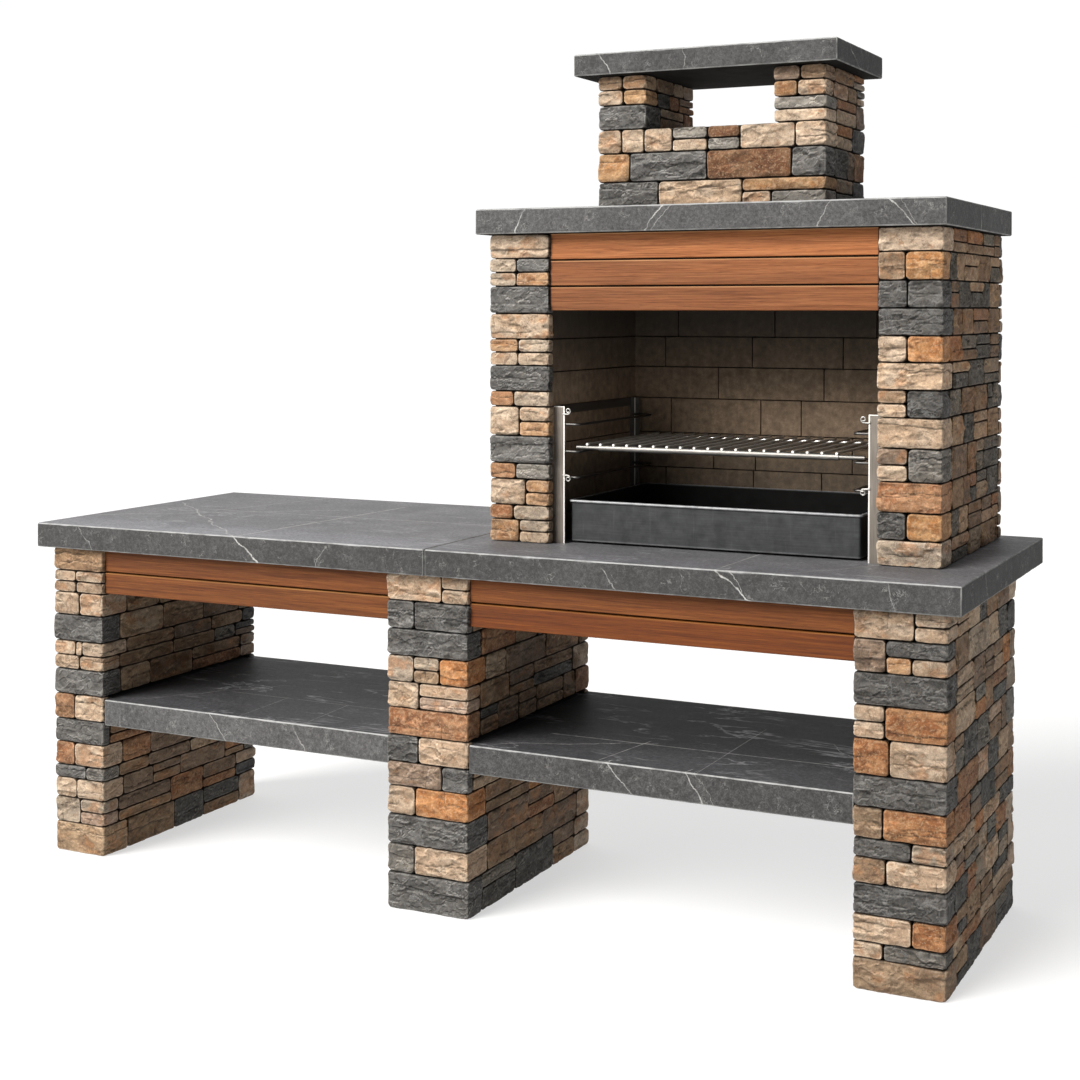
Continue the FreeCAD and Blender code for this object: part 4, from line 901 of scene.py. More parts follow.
# ------------------------------------------------------------------ materials
class Mat:
    """Small helper to lay out a node material."""

    def __init__(self, name):
        self.m = bpy.data.materials.new(name)
        self.m.use_nodes = True
        self.t = self.m.node_tree
        self.bsdf = self.t.nodes["Principled BSDF"]
        self.co = self.t.nodes.new("ShaderNodeTexCoord").outputs["Object"]

    def node(self, kind, **kw):
        n = self.t.nodes.new(kind)
        for k, v in kw.items():
            setattr(n, k, v)
        return n

    def link(self, a, b):
        self.t.links.new(a, b)

    def scaled(self, vec, scale, loc=(0, 0, 0)):
        n = self.node("ShaderNodeMapping")
        n.inputs["Scale"].default_value = scale
        n.inputs["Location"].default_value = loc
        self.link(vec, n.inputs["Vector"])
        return n.outputs["Vector"]

    def noise(self, vec, scale, detail=4.0, rough=0.55, dist=0.0):
        n = self.node("ShaderNodeTexNoise")
        n.inputs["Scale"].default_value = scale
        n.inputs["Detail"].default_value = detail
        n.inputs["Roughness"].default_value = rough
        n.inputs["Distortion"].default_value = dist
        self.link(vec, n.inputs["Vector"])
        return n.outputs["Fac"]

    def ramp(self, fac, stops):
        n = self.node("ShaderNodeValToRGB")
        e = n.color_ramp.elements
        while len(e) < len(stops):
            e.new(0.5)
        for k, (p, c) in enumerate(stops):
            e[k].position = p
            e[k].color = (c, c, c, 1) if isinstance(c, (int, float)) else (*c, 1)
        self.link(fac, n.inputs["Fac"])
        return n.outputs["Color"]

    def math(self, op, a, b=None, clamp=False):
        n = self.node("ShaderNodeMath", operation=op, use_clamp=clamp)
        for k, v in ((0, a), (1, b)):
            if v is None:
                continue
            if isinstance(v, (int, float)):
                n.inputs[k].default_value = v
            else:
                self.link(v, n.inputs[k])
        return n.outputs[0]

    def dot(self, vec, d):
        n = self.node("ShaderNodeVectorMath", operation="DOT_PRODUCT")
        self.link(vec, n.inputs[0])
        n.inputs[1].default_value = d
        return n.outputs["Value"]

    def step(self, x, a, b):
        """0 below a, 1 above b (or the other way round), smooth between."""
        n = self.node("ShaderNodeMapRange", interpolation_type="SMOOTHSTEP")
        n.inputs["From Min"].default_value = a
        n.inputs["From Max"].default_value = b
        self.link(x, n.inputs["Value"])
        return n.outputs["Result"]

    def mix(self, fac, a, b, blend="MIX"):
        n = self.node("ShaderNodeMix", data_type="RGBA", blend_type=blend)
        for key, v in ((0, fac), (6, a), (7, b)):
            if isinstance(v, (int, float)):
                n.inputs[key].default_value = v
            elif isinstance(v, tuple):
                n.inputs[key].default_value = (*v, 1)
            else:
                self.link(v, n.inputs[key])
        return n.outputs[2]

    def bump(self, height, strength, distance, normal=None):
        n = self.node("ShaderNodeBump")
        n.inputs["Strength"].default_value = strength
        n.inputs["Distance"].default_value = distance
        self.link(height, n.inputs["Height"])
        if normal is not None:
            self.link(normal, n.inputs["Normal"])
        return n.outputs["Normal"]

    def xyz(self, vec):
        n = self.node("ShaderNodeSeparateXYZ")
        self.link(vec, n.inputs[0])
        return n.outputs

    def set(self, name, v):
        s = self.bsdf.inputs[name]
        if isinstance(v, (int, float, tuple)):
            s.default_value = v
        else:
            self.link(v, s)


def shade(r, g, b, k=1.0):
    """Linear colour of a surface that looks (r, g, b) where the light falls on it."""
    return tuple(float(x) * k / LIT for x in lin(r, g, b))


def stone_material():
    m = Mat("split_stone")
    at = m.node("ShaderNodeVertexColor", layer_name="stone_colour").outputs["Color"]
    kind = m.node("ShaderNodeAttribute", attribute_name="kind").outputs["Fac"]
    slate = m.step(kind, 0.7, 0.8)
    warm = m.math("MULTIPLY", m.step(kind, 0.2, 0.3), m.math("SUBTRACT", 1.0, slate))
    grain = m.noise(m.co, 330.0, 3.0, 0.62)
    spots = m.noise(m.co, 95.0, 5.0, 0.68, 0.4)
    beds = m.noise(m.scaled(m.co, (55.0, 55.0, 190.0)), 1.0, 4.0, 0.62, 0.4)
    fleck = m.noise(m.scaled(m.co, (1, 1, 1), (3.3, 7.1, 1.9)), 230.0, 2.0, 0.5)
    pits = m.noise(m.scaled(m.co, (1, 1, 1), (9.4, 2.7, 5.5)), 165.0, 3.0, 0.6)
    wave = m.noise(m.co, 21.0, 6.0, 0.66, 0.7)
    vein = m.math("ABSOLUTE", m.math("SUBTRACT", wave, 0.5))
    gate = m.ramp(m.noise(m.scaled(m.co, (1, 1, 1), (4.4, 1.1, 8.2)), 33.0, 2.0, 0.5), [(0.44, 0.0), (0.58, 1.0)])
    c = m.mix(1.0, at, m.ramp(spots, [(0.36, 0.85), (0.50, 1.0), (0.64, 1.13)]), "MULTIPLY")
    c = m.mix(1.0, c, m.ramp(grain, [(0.36, 0.82), (0.64, 1.16)]), "MULTIPLY")
    c = m.mix(1.0, c, m.ramp(beds, [(0.36, 0.92), (0.62, 1.06)]), "MULTIPLY")
    # pale flecks, strongest on the rust and orange stones, and dark pits
    c = m.mix(m.math("MULTIPLY", m.ramp(fleck, [(0.56, 0.0), (0.66, 1.0)]), m.math("ADD", 0.08, m.math("MULTIPLY", warm, 0.26))),
              c, shade(226, 196, 160))
    c = m.mix(1.0, c, m.ramp(pits, [(0.26, 0.45), (0.36, 1.0)]), "MULTIPLY")
    # fine pale scratches on slate, fine dark cracks on the others
    line = m.math("MULTIPLY", m.ramp(vein, [(0.0, 1.0), (0.012, 0.75), (0.030, 0.0)]), gate)
    c = m.mix(m.math("MULTIPLY", m.math("MULTIPLY", line, slate), 0.34), c, shade(168, 167, 165))
    c = m.mix(m.math("MULTIPLY", m.math("MULTIPLY", line, m.math("SUBTRACT", 1.0, m.math("ADD", slate, m.math("MULTIPLY", warm, 0.5)))), 0.55), c, shade(92, 68, 48))
    m.set("Base Color", c)
    m.set("Roughness", m.ramp(spots, [(0.2, 0.74), (0.8, 0.92)]))
    m.set("Specular IOR Level", 0.25)
    n = m.bump(spots, 0.52, 0.0036)
    n = m.bump(beds, 0.40, 0.0026, n)
    m.set("Normal", m.bump(grain, 0.40, 0.0014, n))
    return m.m


def slab_material(name, veins=(), tiles=(), rough=(0.55, 0.60), spec=0.15, base=0.65, painted_top_light=2.55,
                  sheen=(0.0, -0.2, 1.0)):
    """Dark honed stone.  veins: planes (normal, offset, half width, strength, window axis, from, to); tiles: the same,
    for the fine joints scored across the top.  painted_top_light: a factor that paints the top lighter or darker.
    sheen: a painted sheen, the top gets lighter from one y to another."""
    m = Mat(name)
    _, ny, nz = m.xyz(m.node("ShaderNodeNewGeometry").outputs["Normal"])
    top = m.step(nz, 0.75, 0.95)
    y = m.xyz(m.co)[1]
    cloud = m.noise(m.co, 6.0, 6.0, 0.62, 0.6)
    mott = m.noise(m.co, 120.0, 5.0, 0.68, 0.3)
    drag = m.noise(m.scaled(m.co, (8.0, 34.0, 34.0)), 1.0, 4.0, 0.62, 0.4)
    fine = m.noise(m.co, 420.0, 3.0, 0.6)
    c = m.ramp(mott, [(0.36, shade(90, 89, 89, base)), (0.5, shade(104, 103, 103, base)), (0.64, shade(120, 119, 118, base))])
    c = m.mix(1.0, c, m.ramp(cloud, [(0.36, 0.86), (0.64, 1.13)]), "MULTIPLY")
    c = m.mix(1.0, c, m.ramp(fine, [(0.36, 0.78), (0.64, 1.24)]), "MULTIPLY")
    # painted light on the top: lighter on the worktops, darker on the shelves, with a cool cast
    c = m.mix(1.0, c, m.mix(top, (1.0, 1.0, 1.0), (painted_top_light, 1.01 * painted_top_light, 1.06 * painted_top_light)), "MULTIPLY")
    c = m.mix(top, c, m.mix(1.0, c, m.ramp(drag, [(0.40, 0.91), (0.60, 1.09)]), "MULTIPLY"))
    # painted sheen: the top is made lighter towards the front
    near = m.math("MULTIPLY", top, m.step(y, sheen[0], sheen[1]))
    c = m.mix(1.0, c, m.mix(near, (1.0, 1.0, 1.0), (sheen[2], sheen[2], sheen[2] * 1.03)), "MULTIPLY")
    # pale wisps along the honed top
    trail = m.math("ABSOLUTE", m.math("SUBTRACT", m.noise(m.scaled(m.co, (2.6, 9.0, 9.0)), 1.0, 5.0, 0.60, 0.5), 0.5))
    some = m.ramp(m.noise(m.scaled(m.co, (1, 1, 1), (6.1, 3.4, 0.7)), 6.0, 3.0, 0.55), [(0.46, 0.0), (0.60, 1.0)])
    wisp = m.math("MULTIPLY", m.math("MULTIPLY", m.ramp(trail, [(0.0, 1.0), (0.006, 0.6), (0.016, 0.0)]), some), m.math("MULTIPLY", top, 0.55))
    c = m.mix(wisp, c, shade(208, 208, 211))
    # pale scribbles on the sawn sides, fainter on the honed top
    squig = m.math("ABSOLUTE", m.math("SUBTRACT", m.noise(m.co, 30.0, 5.0, 0.66, 0.55), 0.5))
    gate = m.ramp(m.noise(m.co, 26.0, 2.0, 0.5), [(0.49, 0.0), (0.64, 1.0)])
    scrib = m.math("MULTIPLY", m.ramp(squig, [(0.0, 1.0), (0.006, 0.7), (0.014, 0.0)]), gate)
    scrib = m.math("MULTIPLY", scrib, m.math("SUBTRACT", 0.60, m.math("MULTIPLY", top, 0.50)))
    c = m.mix(scrib, c, shade(190, 188, 184))
    # dark flecks
    fleck = m.ramp(m.noise(m.scaled(m.co, (1, 1, 1), (5.1, 2.2, 7.7)), 95.0, 3.0, 0.6), [(0.62, 0.0), (0.72, 0.55)])
    c = m.mix(fleck, c, shade(58, 58, 60))
    wander = m.math("SUBTRACT", m.noise(m.co, 11.0, 5.0, 0.62), 0.5)
    broken = m.noise(m.scaled(m.co, (1, 1, 1), (1.3, 8.8, 3.1)), 28.0, 4.0, 0.65)
    for kind, group in (("vein", veins), ("tile", tiles)):
        for (nrm, off, half, strength, axis, w0, w1) in group:
            d = m.math("ADD", m.dot(m.co, nrm), -off)
            if kind == "vein":
                d = m.math("ADD", d, m.math("MULTIPLY", wander, 0.045))
            else:
                d = m.math("ADD", d, m.math("MULTIPLY", m.math("SUBTRACT", 1.0, top), 1.0))
            d = m.math("ABSOLUTE", d)
            k = m.step(d, half, half * 0.25)
            win = m.dot(m.co, axis)
            ends = m.math("MULTIPLY", m.step(win, w0 - 0.008, w0 + 0.008), m.step(win, w1 + 0.008, w1 - 0.008))
            k = m.math("MULTIPLY", m.math("MULTIPLY", k, ends), m.ramp(broken, [(0.34, 0.25 * abs(strength)), (0.56, abs(strength))]))
            c = m.mix(k, c, shade(222, 220, 216) if strength > 0 else shade(40, 40, 42))
    # pale arrises: partly wear, partly a painted highlight
    wear_and_highlight = m.node("ShaderNodeAttribute", attribute_name="edge").outputs["Fac"]
    c = m.mix(m.math("MULTIPLY", wear_and_highlight, m.ramp(broken, [(0.38, 0.42), (0.58, 0.95)])), c, shade(206, 206, 203))
    # the upper front arris is painted pale: partly wear, partly a painted highlight where it faces the light
    arris = m.math("MULTIPLY", m.math("MULTIPLY", m.step(nz, 0.10, 0.35), m.step(nz, 0.985, 0.86)), m.step(ny, -0.10, -0.30))
    c = m.mix(m.math("MULTIPLY", arris, m.ramp(broken, [(0.36, 0.35), (0.58, 0.80)])), c, shade(224, 224, 224))
    m.set("Base Color", c)
    r_top = m.ramp(drag, [(0.36, rough[0]), (0.64, rough[1])])
    r_side = m.ramp(mott, [(0.25, 0.70), (0.8, 0.84)])
    m.set("Roughness", m.mix(top, r_side, r_top))
    m.set("Specular IOR Level", spec)
    side = m.math("SUBTRACT", 1.0, m.math("MULTIPLY", top, 0.9))
    n = m.bump(m.math("MULTIPLY", mott, side), 0.5, 0.0030)
    m.set("Normal", m.bump(m.math("MULTIPLY", fine, side), 0.3, 0.0010, n))
    return m.m


def wood_material(name, shift, tone, tint, upper, ends):
    """Stained board with fine straight grain; upper is the height of its top edge, ends its two ends."""
    m = Mat(name)

    # tone and tint paint light or shade on the board
    def hue(r, g, b):
        return tuple(x * t for x, t in zip(shade(r, g, b, tone), tint))

    p = m.scaled(m.co, (1, 1, 1), shift)
    z = m.xyz(m.co)[2]
    grain = m.noise(m.scaled(p, (5.0, 120.0, 270.0)), 1.0, 6.0, 0.66, 0.7)
    fine = m.noise(m.scaled(p, (18.0, 700.0, 900.0)), 1.0, 3.0, 0.6)
    band = m.noise(m.scaled(p, (1.6, 9.0, 40.0)), 1.0, 3.0, 0.5)
    pores = m.noise(m.scaled(p, (34.0, 800.0, 1000.0)), 1.0, 2.0, 0.5)
    c = m.ramp(grain, [(0.32, hue(128, 72, 36)), (0.45, hue(156, 93, 51)), (0.56, hue(172, 107, 62)), (0.70, hue(190, 125, 77))])
    c = m.mix(1.0, c, m.ramp(fine, [(0.36, 0.80), (0.62, 1.10)]), "MULTIPLY")
    c = m.mix(1.0, c, m.ramp(band, [(0.38, 0.88), (0.62, 1.10)]), "MULTIPLY")
    c = m.mix(m.ramp(pores, [(0.60, 0.0), (0.70, 0.45)]), c, hue(86, 46, 24))
    lit = m.math("MULTIPLY", m.step(z, upper - 0.0034, upper - 0.0020), m.ramp(grain, [(0.35, 0.35), (0.6, 0.75)]))
    c = m.mix(lit, c, hue(228, 172, 122))
    # painted shadow: a dark line at each end, where the board meets the stones
    x = m.xyz(m.co)[0]
    inside = m.math("MULTIPLY", m.step(x, ends[0] + 0.0012, ends[0] + 0.0040), m.step(x, ends[1] - 0.0012, ends[1] - 0.0040))
    c = m.mix(1.0, c, m.mix(inside, (0.16, 0.14, 0.13), (1.0, 1.0, 1.0)), "MULTIPLY")
    m.set("Base Color", c)
    m.set("Roughness", m.ramp(grain, [(0.3, 0.66), (0.7, 0.52)]))
    m.set("Specular IOR Level", 0.2)
    n = m.bump(grain, 0.22, 0.0014)
    m.set("Normal", m.bump(fine, 0.2, 0.0006, n))
    return m.m


def brick_material():
    m = Mat("firebrick")
    z = m.xyz(m.co)[2]
    big = m.noise(m.co, 5.0, 4.0, 0.6, 0.3)
    mid = m.noise(m.co, 55.0, 5.0, 0.65)
    fine = m.noise(m.co, 460.0, 3.0, 0.6)
    streak = m.noise(m.scaled(m.co, (60.0, 60.0, 7.0)), 1.0, 4.0, 0.6)
    c = m.ramp(mid, [(0.28, shade(118, 101, 83)), (0.52, shade(151, 131, 110)), (0.72, shade(174, 153, 131))])
    c = m.mix(1.0, c, m.ramp(big, [(0.3, 0.78), (0.7, 1.16)]), "MULTIPLY")
    c = m.mix(1.0, c, m.ramp(fine, [(0.3, 0.80), (0.7, 1.14)]), "MULTIPLY")
    c = m.mix(1.0, c, m.ramp(streak, [(0.35, 0.88), (0.65, 1.06)]), "MULTIPLY")
    # darker towards the top: soot, and painted shade under the hood
    soot_and_shade = m.math("ADD", m.step(z, 1.20, 1.40), m.math("MULTIPLY", m.math("SUBTRACT", big, 0.5), 0.5), clamp=True)
    c = m.mix(m.math("MULTIPLY", soot_and_shade, 0.82), c, shade(40, 34, 29))
    # painted shade low in the lining, under the grate
    c = m.mix(1.0, c, m.mix(m.step(z, 0.96, 1.10), (0.68, 0.67, 0.66), (1.0, 1.0, 1.0)), "MULTIPLY")
    # a painted band of light across the middle of the lining
    painted_light = m.math("MULTIPLY", m.step(z, 1.00, 1.10), m.step(z, 1.29, 1.15))
    c = m.mix(1.0, c, m.mix(painted_light, (1.0, 0.97, 0.92), (1.62, 1.54, 1.46)), "MULTIPLY")
    m.set("Base Color", c)
    m.set("Roughness", m.ramp(mid, [(0.2, 0.76), (0.8, 0.92)]))
    n = m.bump(mid, 0.35, 0.002)
    m.set("Normal", m.bump(fine, 0.3, 0.0008, n))
    return m.m


def concrete_material():
    m = Mat("concrete")
    mid = m.noise(m.co, 40.0, 5.0, 0.65)
    fine = m.noise(m.co, 300.0, 3.0, 0.6)
    c = m.ramp(mid, [(0.25, shade(52, 48, 44)), (0.75, shade(84, 78, 72))])
    m.set("Base Color", m.mix(1.0, c, m.ramp(fine, [(0.3, 0.8), (0.7, 1.15)]), "MULTIPLY"))
    m.set("Roughness", m.ramp(mid, [(0.2, 0.85), (0.8, 0.95)]))
    m.set("Normal", m.bump(fine, 0.4, 0.002))
    return m.m


def steel_material(name, stretch, tint=(0.60, 0.58, 0.55), rough=(0.24, 0.40), painted_highlight=(), metal=1.0):
    """Brushed steel.  painted_highlight: (axis, from, to) bands painted lighter as a highlight, such as along an arris.
    """
    m = Mat(name)
    brush = m.noise(m.scaled(m.co, stretch), 1.0, 3.0, 0.6)
    big = m.noise(m.co, 14.0, 3.0, 0.5)
    c = m.ramp(brush, [(0.35, tuple(0.82 * x for x in tint)), (0.65, tuple(min(1, 1.14 * x) for x in tint))])
    c = m.mix(1.0, c, m.ramp(big, [(0.36, 0.88), (0.64, 1.06)]), "MULTIPLY")
    # painted highlight bands
    for axis, w0, w1 in painted_highlight:
        d = m.dot(m.co, axis)
        k = m.math("MULTIPLY", m.step(d, w0 - 0.0003, w0 + 0.0003), m.step(d, w1 + 0.0003, w1 - 0.0003))
        c = m.mix(m.math("MULTIPLY", k, 0.9), c, (0.80, 0.78, 0.74))
    m.set("Base Color", c)
    m.set("Metallic", metal)
    m.set("Roughness", m.ramp(brush, [(0.30, rough[0]), (0.70, rough[1])]))
    m.set("Normal", m.bump(brush, 0.10, 0.0005))
    return m.m


def underside_shade_material():
    """Near-black stone for the downward faces of the mantle and the chimney cap: painted shade under them, and soot
    over the fire.
    """
    m = Mat("stone_underside_shade")
    cloud = m.noise(m.co, 9.0, 5.0, 0.62, 0.5)
    fine = m.noise(m.co, 320.0, 3.0, 0.6)
    c = m.ramp(cloud, [(0.34, shade(30, 28, 25)), (0.66, shade(62, 58, 53))])
    m.set("Base Color", m.mix(1.0, c, m.ramp(fine, [(0.36, 0.75), (0.64, 1.2)]), "MULTIPLY"))
    m.set("Roughness", m.ramp(cloud, [(0.3, 0.90), (0.7, 0.99)]))
    m.set("Specular IOR Level", 0.05)
    m.set("Normal", m.bump(fine, 0.4, 0.0012))
    return m.m


def tray_material():
    m = Mat("tray_steel")
    mid = m.noise(m.co, 30.0, 4.0, 0.6)
    fine = m.noise(m.co, 700.0, 2.0, 0.6)
    brush = m.noise(m.scaled(m.co, (14.0, 300.0, 520.0)), 1.0, 3.0, 0.6)
    scuff = m.noise(m.scaled(m.co, (120.0, 120.0, 9.0)), 1.0, 4.0, 0.6)
    c = m.ramp(mid, [(0.36, shade(63, 64, 66)), (0.64, shade(80, 81, 83))])
    c = m.mix(1.0, c, m.ramp(brush, [(0.36, 0.84), (0.64, 1.12)]), "MULTIPLY")
    c = m.mix(m.ramp(scuff, [(0.60, 0.0), (0.74, 0.25)]), c, shade(120, 120, 120))
    # soot and painted shade inside, rubbed bright with a painted highlight along the rolled rim and the bends
    inside = m.node("ShaderNodeAttribute", attribute_name="soot_and_shade").outputs["Fac"]
    inside = m.math("MULTIPLY", inside, m.ramp(mid, [(0.3, 0.92), (0.6, 1.0)]))
    c = m.mix(inside, c, shade(17, 16, 15))
    rub_and_highlight = m.node("ShaderNodeAttribute", attribute_name="edge").outputs["Fac"]
    rub_and_highlight = m.math("MULTIPLY", rub_and_highlight, m.ramp(m.noise(m.co, 60.0, 4.0, 0.6), [(0.36, 0.62), (0.58, 1.0)]))
    c = m.mix(rub_and_highlight, c, shade(198, 199, 201))
    m.set("Base Color", c)
    m.set("Metallic", 0.3)
    m.set("Roughness", m.mix(inside, m.ramp(mid, [(0.3, 0.40), (0.7, 0.52)]), (0.9, 0.9, 0.9)))
    m.set("Specular IOR Level", 0.3)
    m.set("Normal", m.bump(fine, 0.12, 0.0005))
    return m.m


def hood_material():
    m = Mat("hood_steel")
    mid = m.noise(m.co, 25.0, 5.0, 0.65)
    m.set("Base Color", m.ramp(mid, [(0.25, shade(22, 20, 18)), (0.75, shade(46, 42, 38))]))
    m.set("Roughness", m.ramp(mid, [(0.2, 0.7), (0.8, 0.92)]))
    m.set("Normal", m.bump(mid, 0.3, 0.002))
    return m.m


def plane(p, q, r):
    """Normal and offset of the plane through three points."""
    p, q, r = (np.array(v, float) for v in (p, q, r))
    n = np.cross(q - p, r - p)
    n = n / np.linalg.norm(n)
    return tuple(float(v) for v in n), float(np.dot(n, p))


def vein3(p, q, r, half, strength, axis, w0, w1):
    n, d = plane(p, q, r)
    return (n, d, half, strength, axis, w0, w1)


AX, AY, AZ = (1.0, 0.0, 0.0), (0.0, 1.0, 0.0), (0.0, 0.0, 1.0)
slab_left = slab_material("slab_worktop_left", veins=(
    vein3((-0.571, -0.421, 0.85), (-1.091, 0.076, 0.85), (-0.493, -0.421, 0.789), 0.0021, 1.0, AY, -0.43, 0.12),
    vein3((-1.222, -0.262, 0.85), (-0.948, -0.061, 0.85), (-1.20, -0.24, 0.79), 0.0034, 0.95, AX, -1.16, -0.62),
    vein3((-1.056, -0.421, 0.845), (-1.020, -0.421, 0.804), (-1.00, -0.36, 0.85), 0.0015, 0.55, AY, -0.43, -0.33),
    vein3((-0.30, -0.421, 0.85), (-0.33, -0.421, 0.80), (-0.16, 0.10, 0.85), 0.0014, 0.4, AY, -0.43, -0.20),
), tiles=(
    vein3((-0.564, -0.421, 0.85), (-0.543, -0.097, 0.85), (-0.564, -0.421, 0.80), 0.0036, 1.0, AY, -0.415, 0.30),
    vein3((-0.953, -0.038, 0.85), (-0.836, 0.401, 0.85), (-0.953, -0.038, 0.80), 0.0030, 0.65, AY, -0.06, 0.42),
    vein3((-1.18, 0.020, 0.85), (0.0, 0.040, 0.85), (-1.18, 0.020, 0.80), 0.0045, 0.60, AX, -0.98, -0.05),
), painted_top_light=2.80, sheen=(-0.16, -0.40, 1.36))
slab_right = slab_material("slab_worktop_right", veins=(
    vein3((0.668, -0.421, 0.85), (0.690, -0.36, 0.85), (0.753, -0.421, 0.789), 0.0020, 1.0, AY, -0.43, -0.38),
    vein3((0.700, -0.421, 0.85), (0.705, -0.36, 0.85), (0.745, -0.421, 0.789), 0.0010, 0.6, AY, -0.43, -0.39),
    vein3((0.418, -0.421, 0.830), (0.441, -0.421, 0.792), (0.43, -0.36, 0.830), 0.0013, 0.65, AZ, 0.79, 0.832),
    vein3((1.042, -0.421, 0.831), (1.058, -0.421, 0.792), (1.08, -0.33, 0.831), 0.0012, 0.35, AY, -0.43, -0.36),
    vein3((0.818, -0.408, 0.85), (0.940, -0.236, 0.85), (0.83, -0.40, 0.80), 0.0030, 0.65, AY, -0.40, -0.20),
    vein3((1.187, -0.20, 0.85), (1.187, -0.188, 0.79), (1.10, -0.10, 0.85), 0.0014, 0.5, AX, 1.05, 1.19),
), tiles=(
    vein3((0.668, -0.421, 0.85), (0.674, -0.209, 0.85), (0.668, -0.421, 0.80), 0.0028, 0.85, AY, -0.41, 0.0),
    vein3((0.20, -0.06, 0.85), (0.90, -0.06, 0.85), (0.20, -0.06, 0.80), 0.0013, 0.3, AX, -0.03, 1.18),
    vein3((0.18, -0.42, 0.85), (0.18, 0.42, 0.85), (0.18, 0.0, 0.80), 0.0013, 0.25, AY, -0.40, 0.42),
), sheen=(-0.24, -0.41, 1.16))
# the shelves are painted for the light in the bays: tops darker as painted shade, the right shelf darker still, with a
# painted sheen at the front
SHELF_L = dict(rough=(0.50, 0.56), spec=0.08, base=1.08, painted_top_light=0.46, sheen=(-0.12, -0.37, 1.75))
SHELF_R = dict(rough=(0.51, 0.56), spec=0.03, base=0.76, painted_top_light=0.32, sheen=(-0.12, -0.37, 3.2))
slab_shelf_l = slab_material("slab_shelf_left", veins=(
    vein3((-0.9045, -0.3127, 0.403), (-0.7132, -0.0702, 0.403), (-0.90, -0.31, 0.35), 0.0017, 0.5, AX, -0.93, -0.68),
    vein3((-0.664, -0.387, 0.393), (-0.625, -0.387, 0.3455), (-0.66, -0.33, 0.393), 0.0016, 0.8, AY, -0.39, -0.36),
    vein3((-0.4206, -0.387, 0.400), (-0.401, -0.387, 0.364), (-0.41, -0.32, 0.400), 0.0016, 0.8, AY, -0.39, -0.36),
), tiles=(
    vein3((-0.757, -0.163, 0.403), (-0.296, -0.166, 0.403), (-0.757, -0.163, 0.35), 0.0014, 0.55, AX, -0.77, -0.14),
    vein3((-0.585, -0.366, 0.403), (-0.589, -0.267, 0.403), (-0.585, -0.366, 0.35), 0.0014, 0.5, AY, -0.40, -0.16),
    vein3((-0.400, -0.334, 0.403), (-0.410, -0.178, 0.403), (-0.400, -0.334, 0.35), 0.0014, 0.5, AY, -0.36, -0.16),
    vein3((-0.90, 0.080, 0.403), (-0.20, 0.080, 0.403), (-0.90, 0.080, 0.35), 0.0014, -0.6, AX, -1.0, -0.15),
), **SHELF_L)
slab_shelf_r = slab_material("slab_shelf_right", veins=(
    vein3((0.410, -0.387, 0.3915), (0.459, -0.387, 0.338), (0.42, -0.33, 0.3915), 0.0017, 0.85, AY, -0.39, -0.36),
    vein3((0.590, -0.387, 0.396), (0.623, -0.387, 0.344), (0.60, -0.33, 0.396), 0.0019, 0.9, AY, -0.39, -0.36),
    vein3((0.612, -0.387, 0.396), (0.650, -0.387, 0.344), (0.62, -0.33, 0.396), 0.0011, 0.6, AY, -0.39, -0.36),
    vein3((0.20, -0.30, 0.403), (0.40, -0.20, 0.403), (0.20, -0.30, 0.35), 0.0024, 0.65, AX, 0.10, 0.44),
    vein3((0.83, -0.05, 0.403), (0.90, -0.14, 0.403), (0.83, -0.05, 0.35), 0.0015, 0.45, AX, 0.80, 0.93),
), tiles=(
    vein3((0.379, -0.379, 0.403), (0.414, -0.181, 0.403), (0.379, -0.379, 0.35), 0.0018, 0.75, AY, -0.40, -0.17),
    vein3((0.6135, -0.394, 0.403), (0.618, 0.328, 0.403), (0.6135, -0.394, 0.35), 0.0014, 0.5, AY, -0.40, 0.06),
    vein3((0.6135, -0.394, 0.403), (0.618, 0.328, 0.403), (0.6135, -0.394, 0.35), 0.0014, -0.6, AY, 0.06, 0.34),
    vein3((0.217, -0.200, 0.403), (0.902, -0.190, 0.403), (0.217, -0.200, 0.35), 0.0026, 0.6, AX, 0.18, 0.95),
    vein3((0.194, 0.056, 0.403), (0.618, 0.057, 0.403), (0.194, 0.056, 0.35), 0.0016, -0.7, AX, 0.07, 0.95),
), **SHELF_R)
slab_mantle = slab_material("slab_mantle", veins=(
    vein3((0.128, -0.249, 1.6184), (0.101, -0.249, 1.566), (0.17, -0.15, 1.6184), 0.0020, 0.9, AY, -0.26, -0.10),
    vein3((0.463, -0.249, 1.6183), (0.429, -0.249, 1.572), (0.50, -0.15, 1.6183), 0.0021, 1.0, AY, -0.26, -0.10),
    vein3((0.484, -0.249, 1.6183), (0.446, -0.249, 1.572), (0.52, -0.15, 1.6183), 0.0011, 0.55, AY, -0.26, -0.15),
    vein3((0.856, -0.249, 1.616), (0.845, -0.249, 1.598), (0.88, -0.15, 1.616), 0.0015, 0.6, AY, -0.26, -0.10),
    vein3((0.997, -0.249, 1.632), (1.038, -0.249, 1.5795), (1.00, -0.15, 1.632), 0.0020, 0.9, AY, -0.26, -0.10),
    vein3((1.016, -0.249, 1.632), (1.046, -0.249, 1.5795), (1.02, -0.15, 1.632), 0.0010, 0.6, AY, -0.26, -0.15),
    vein3((1.111, 0.074, 1.630), (1.111, 0.077, 1.583), (1.0, 0.12, 1.63), 0.0018, 0.6, AX, 0.9, 1.12),
), base=0.97, rough=(0.58, 0.63), spec=0.10, painted_top_light=1.3)
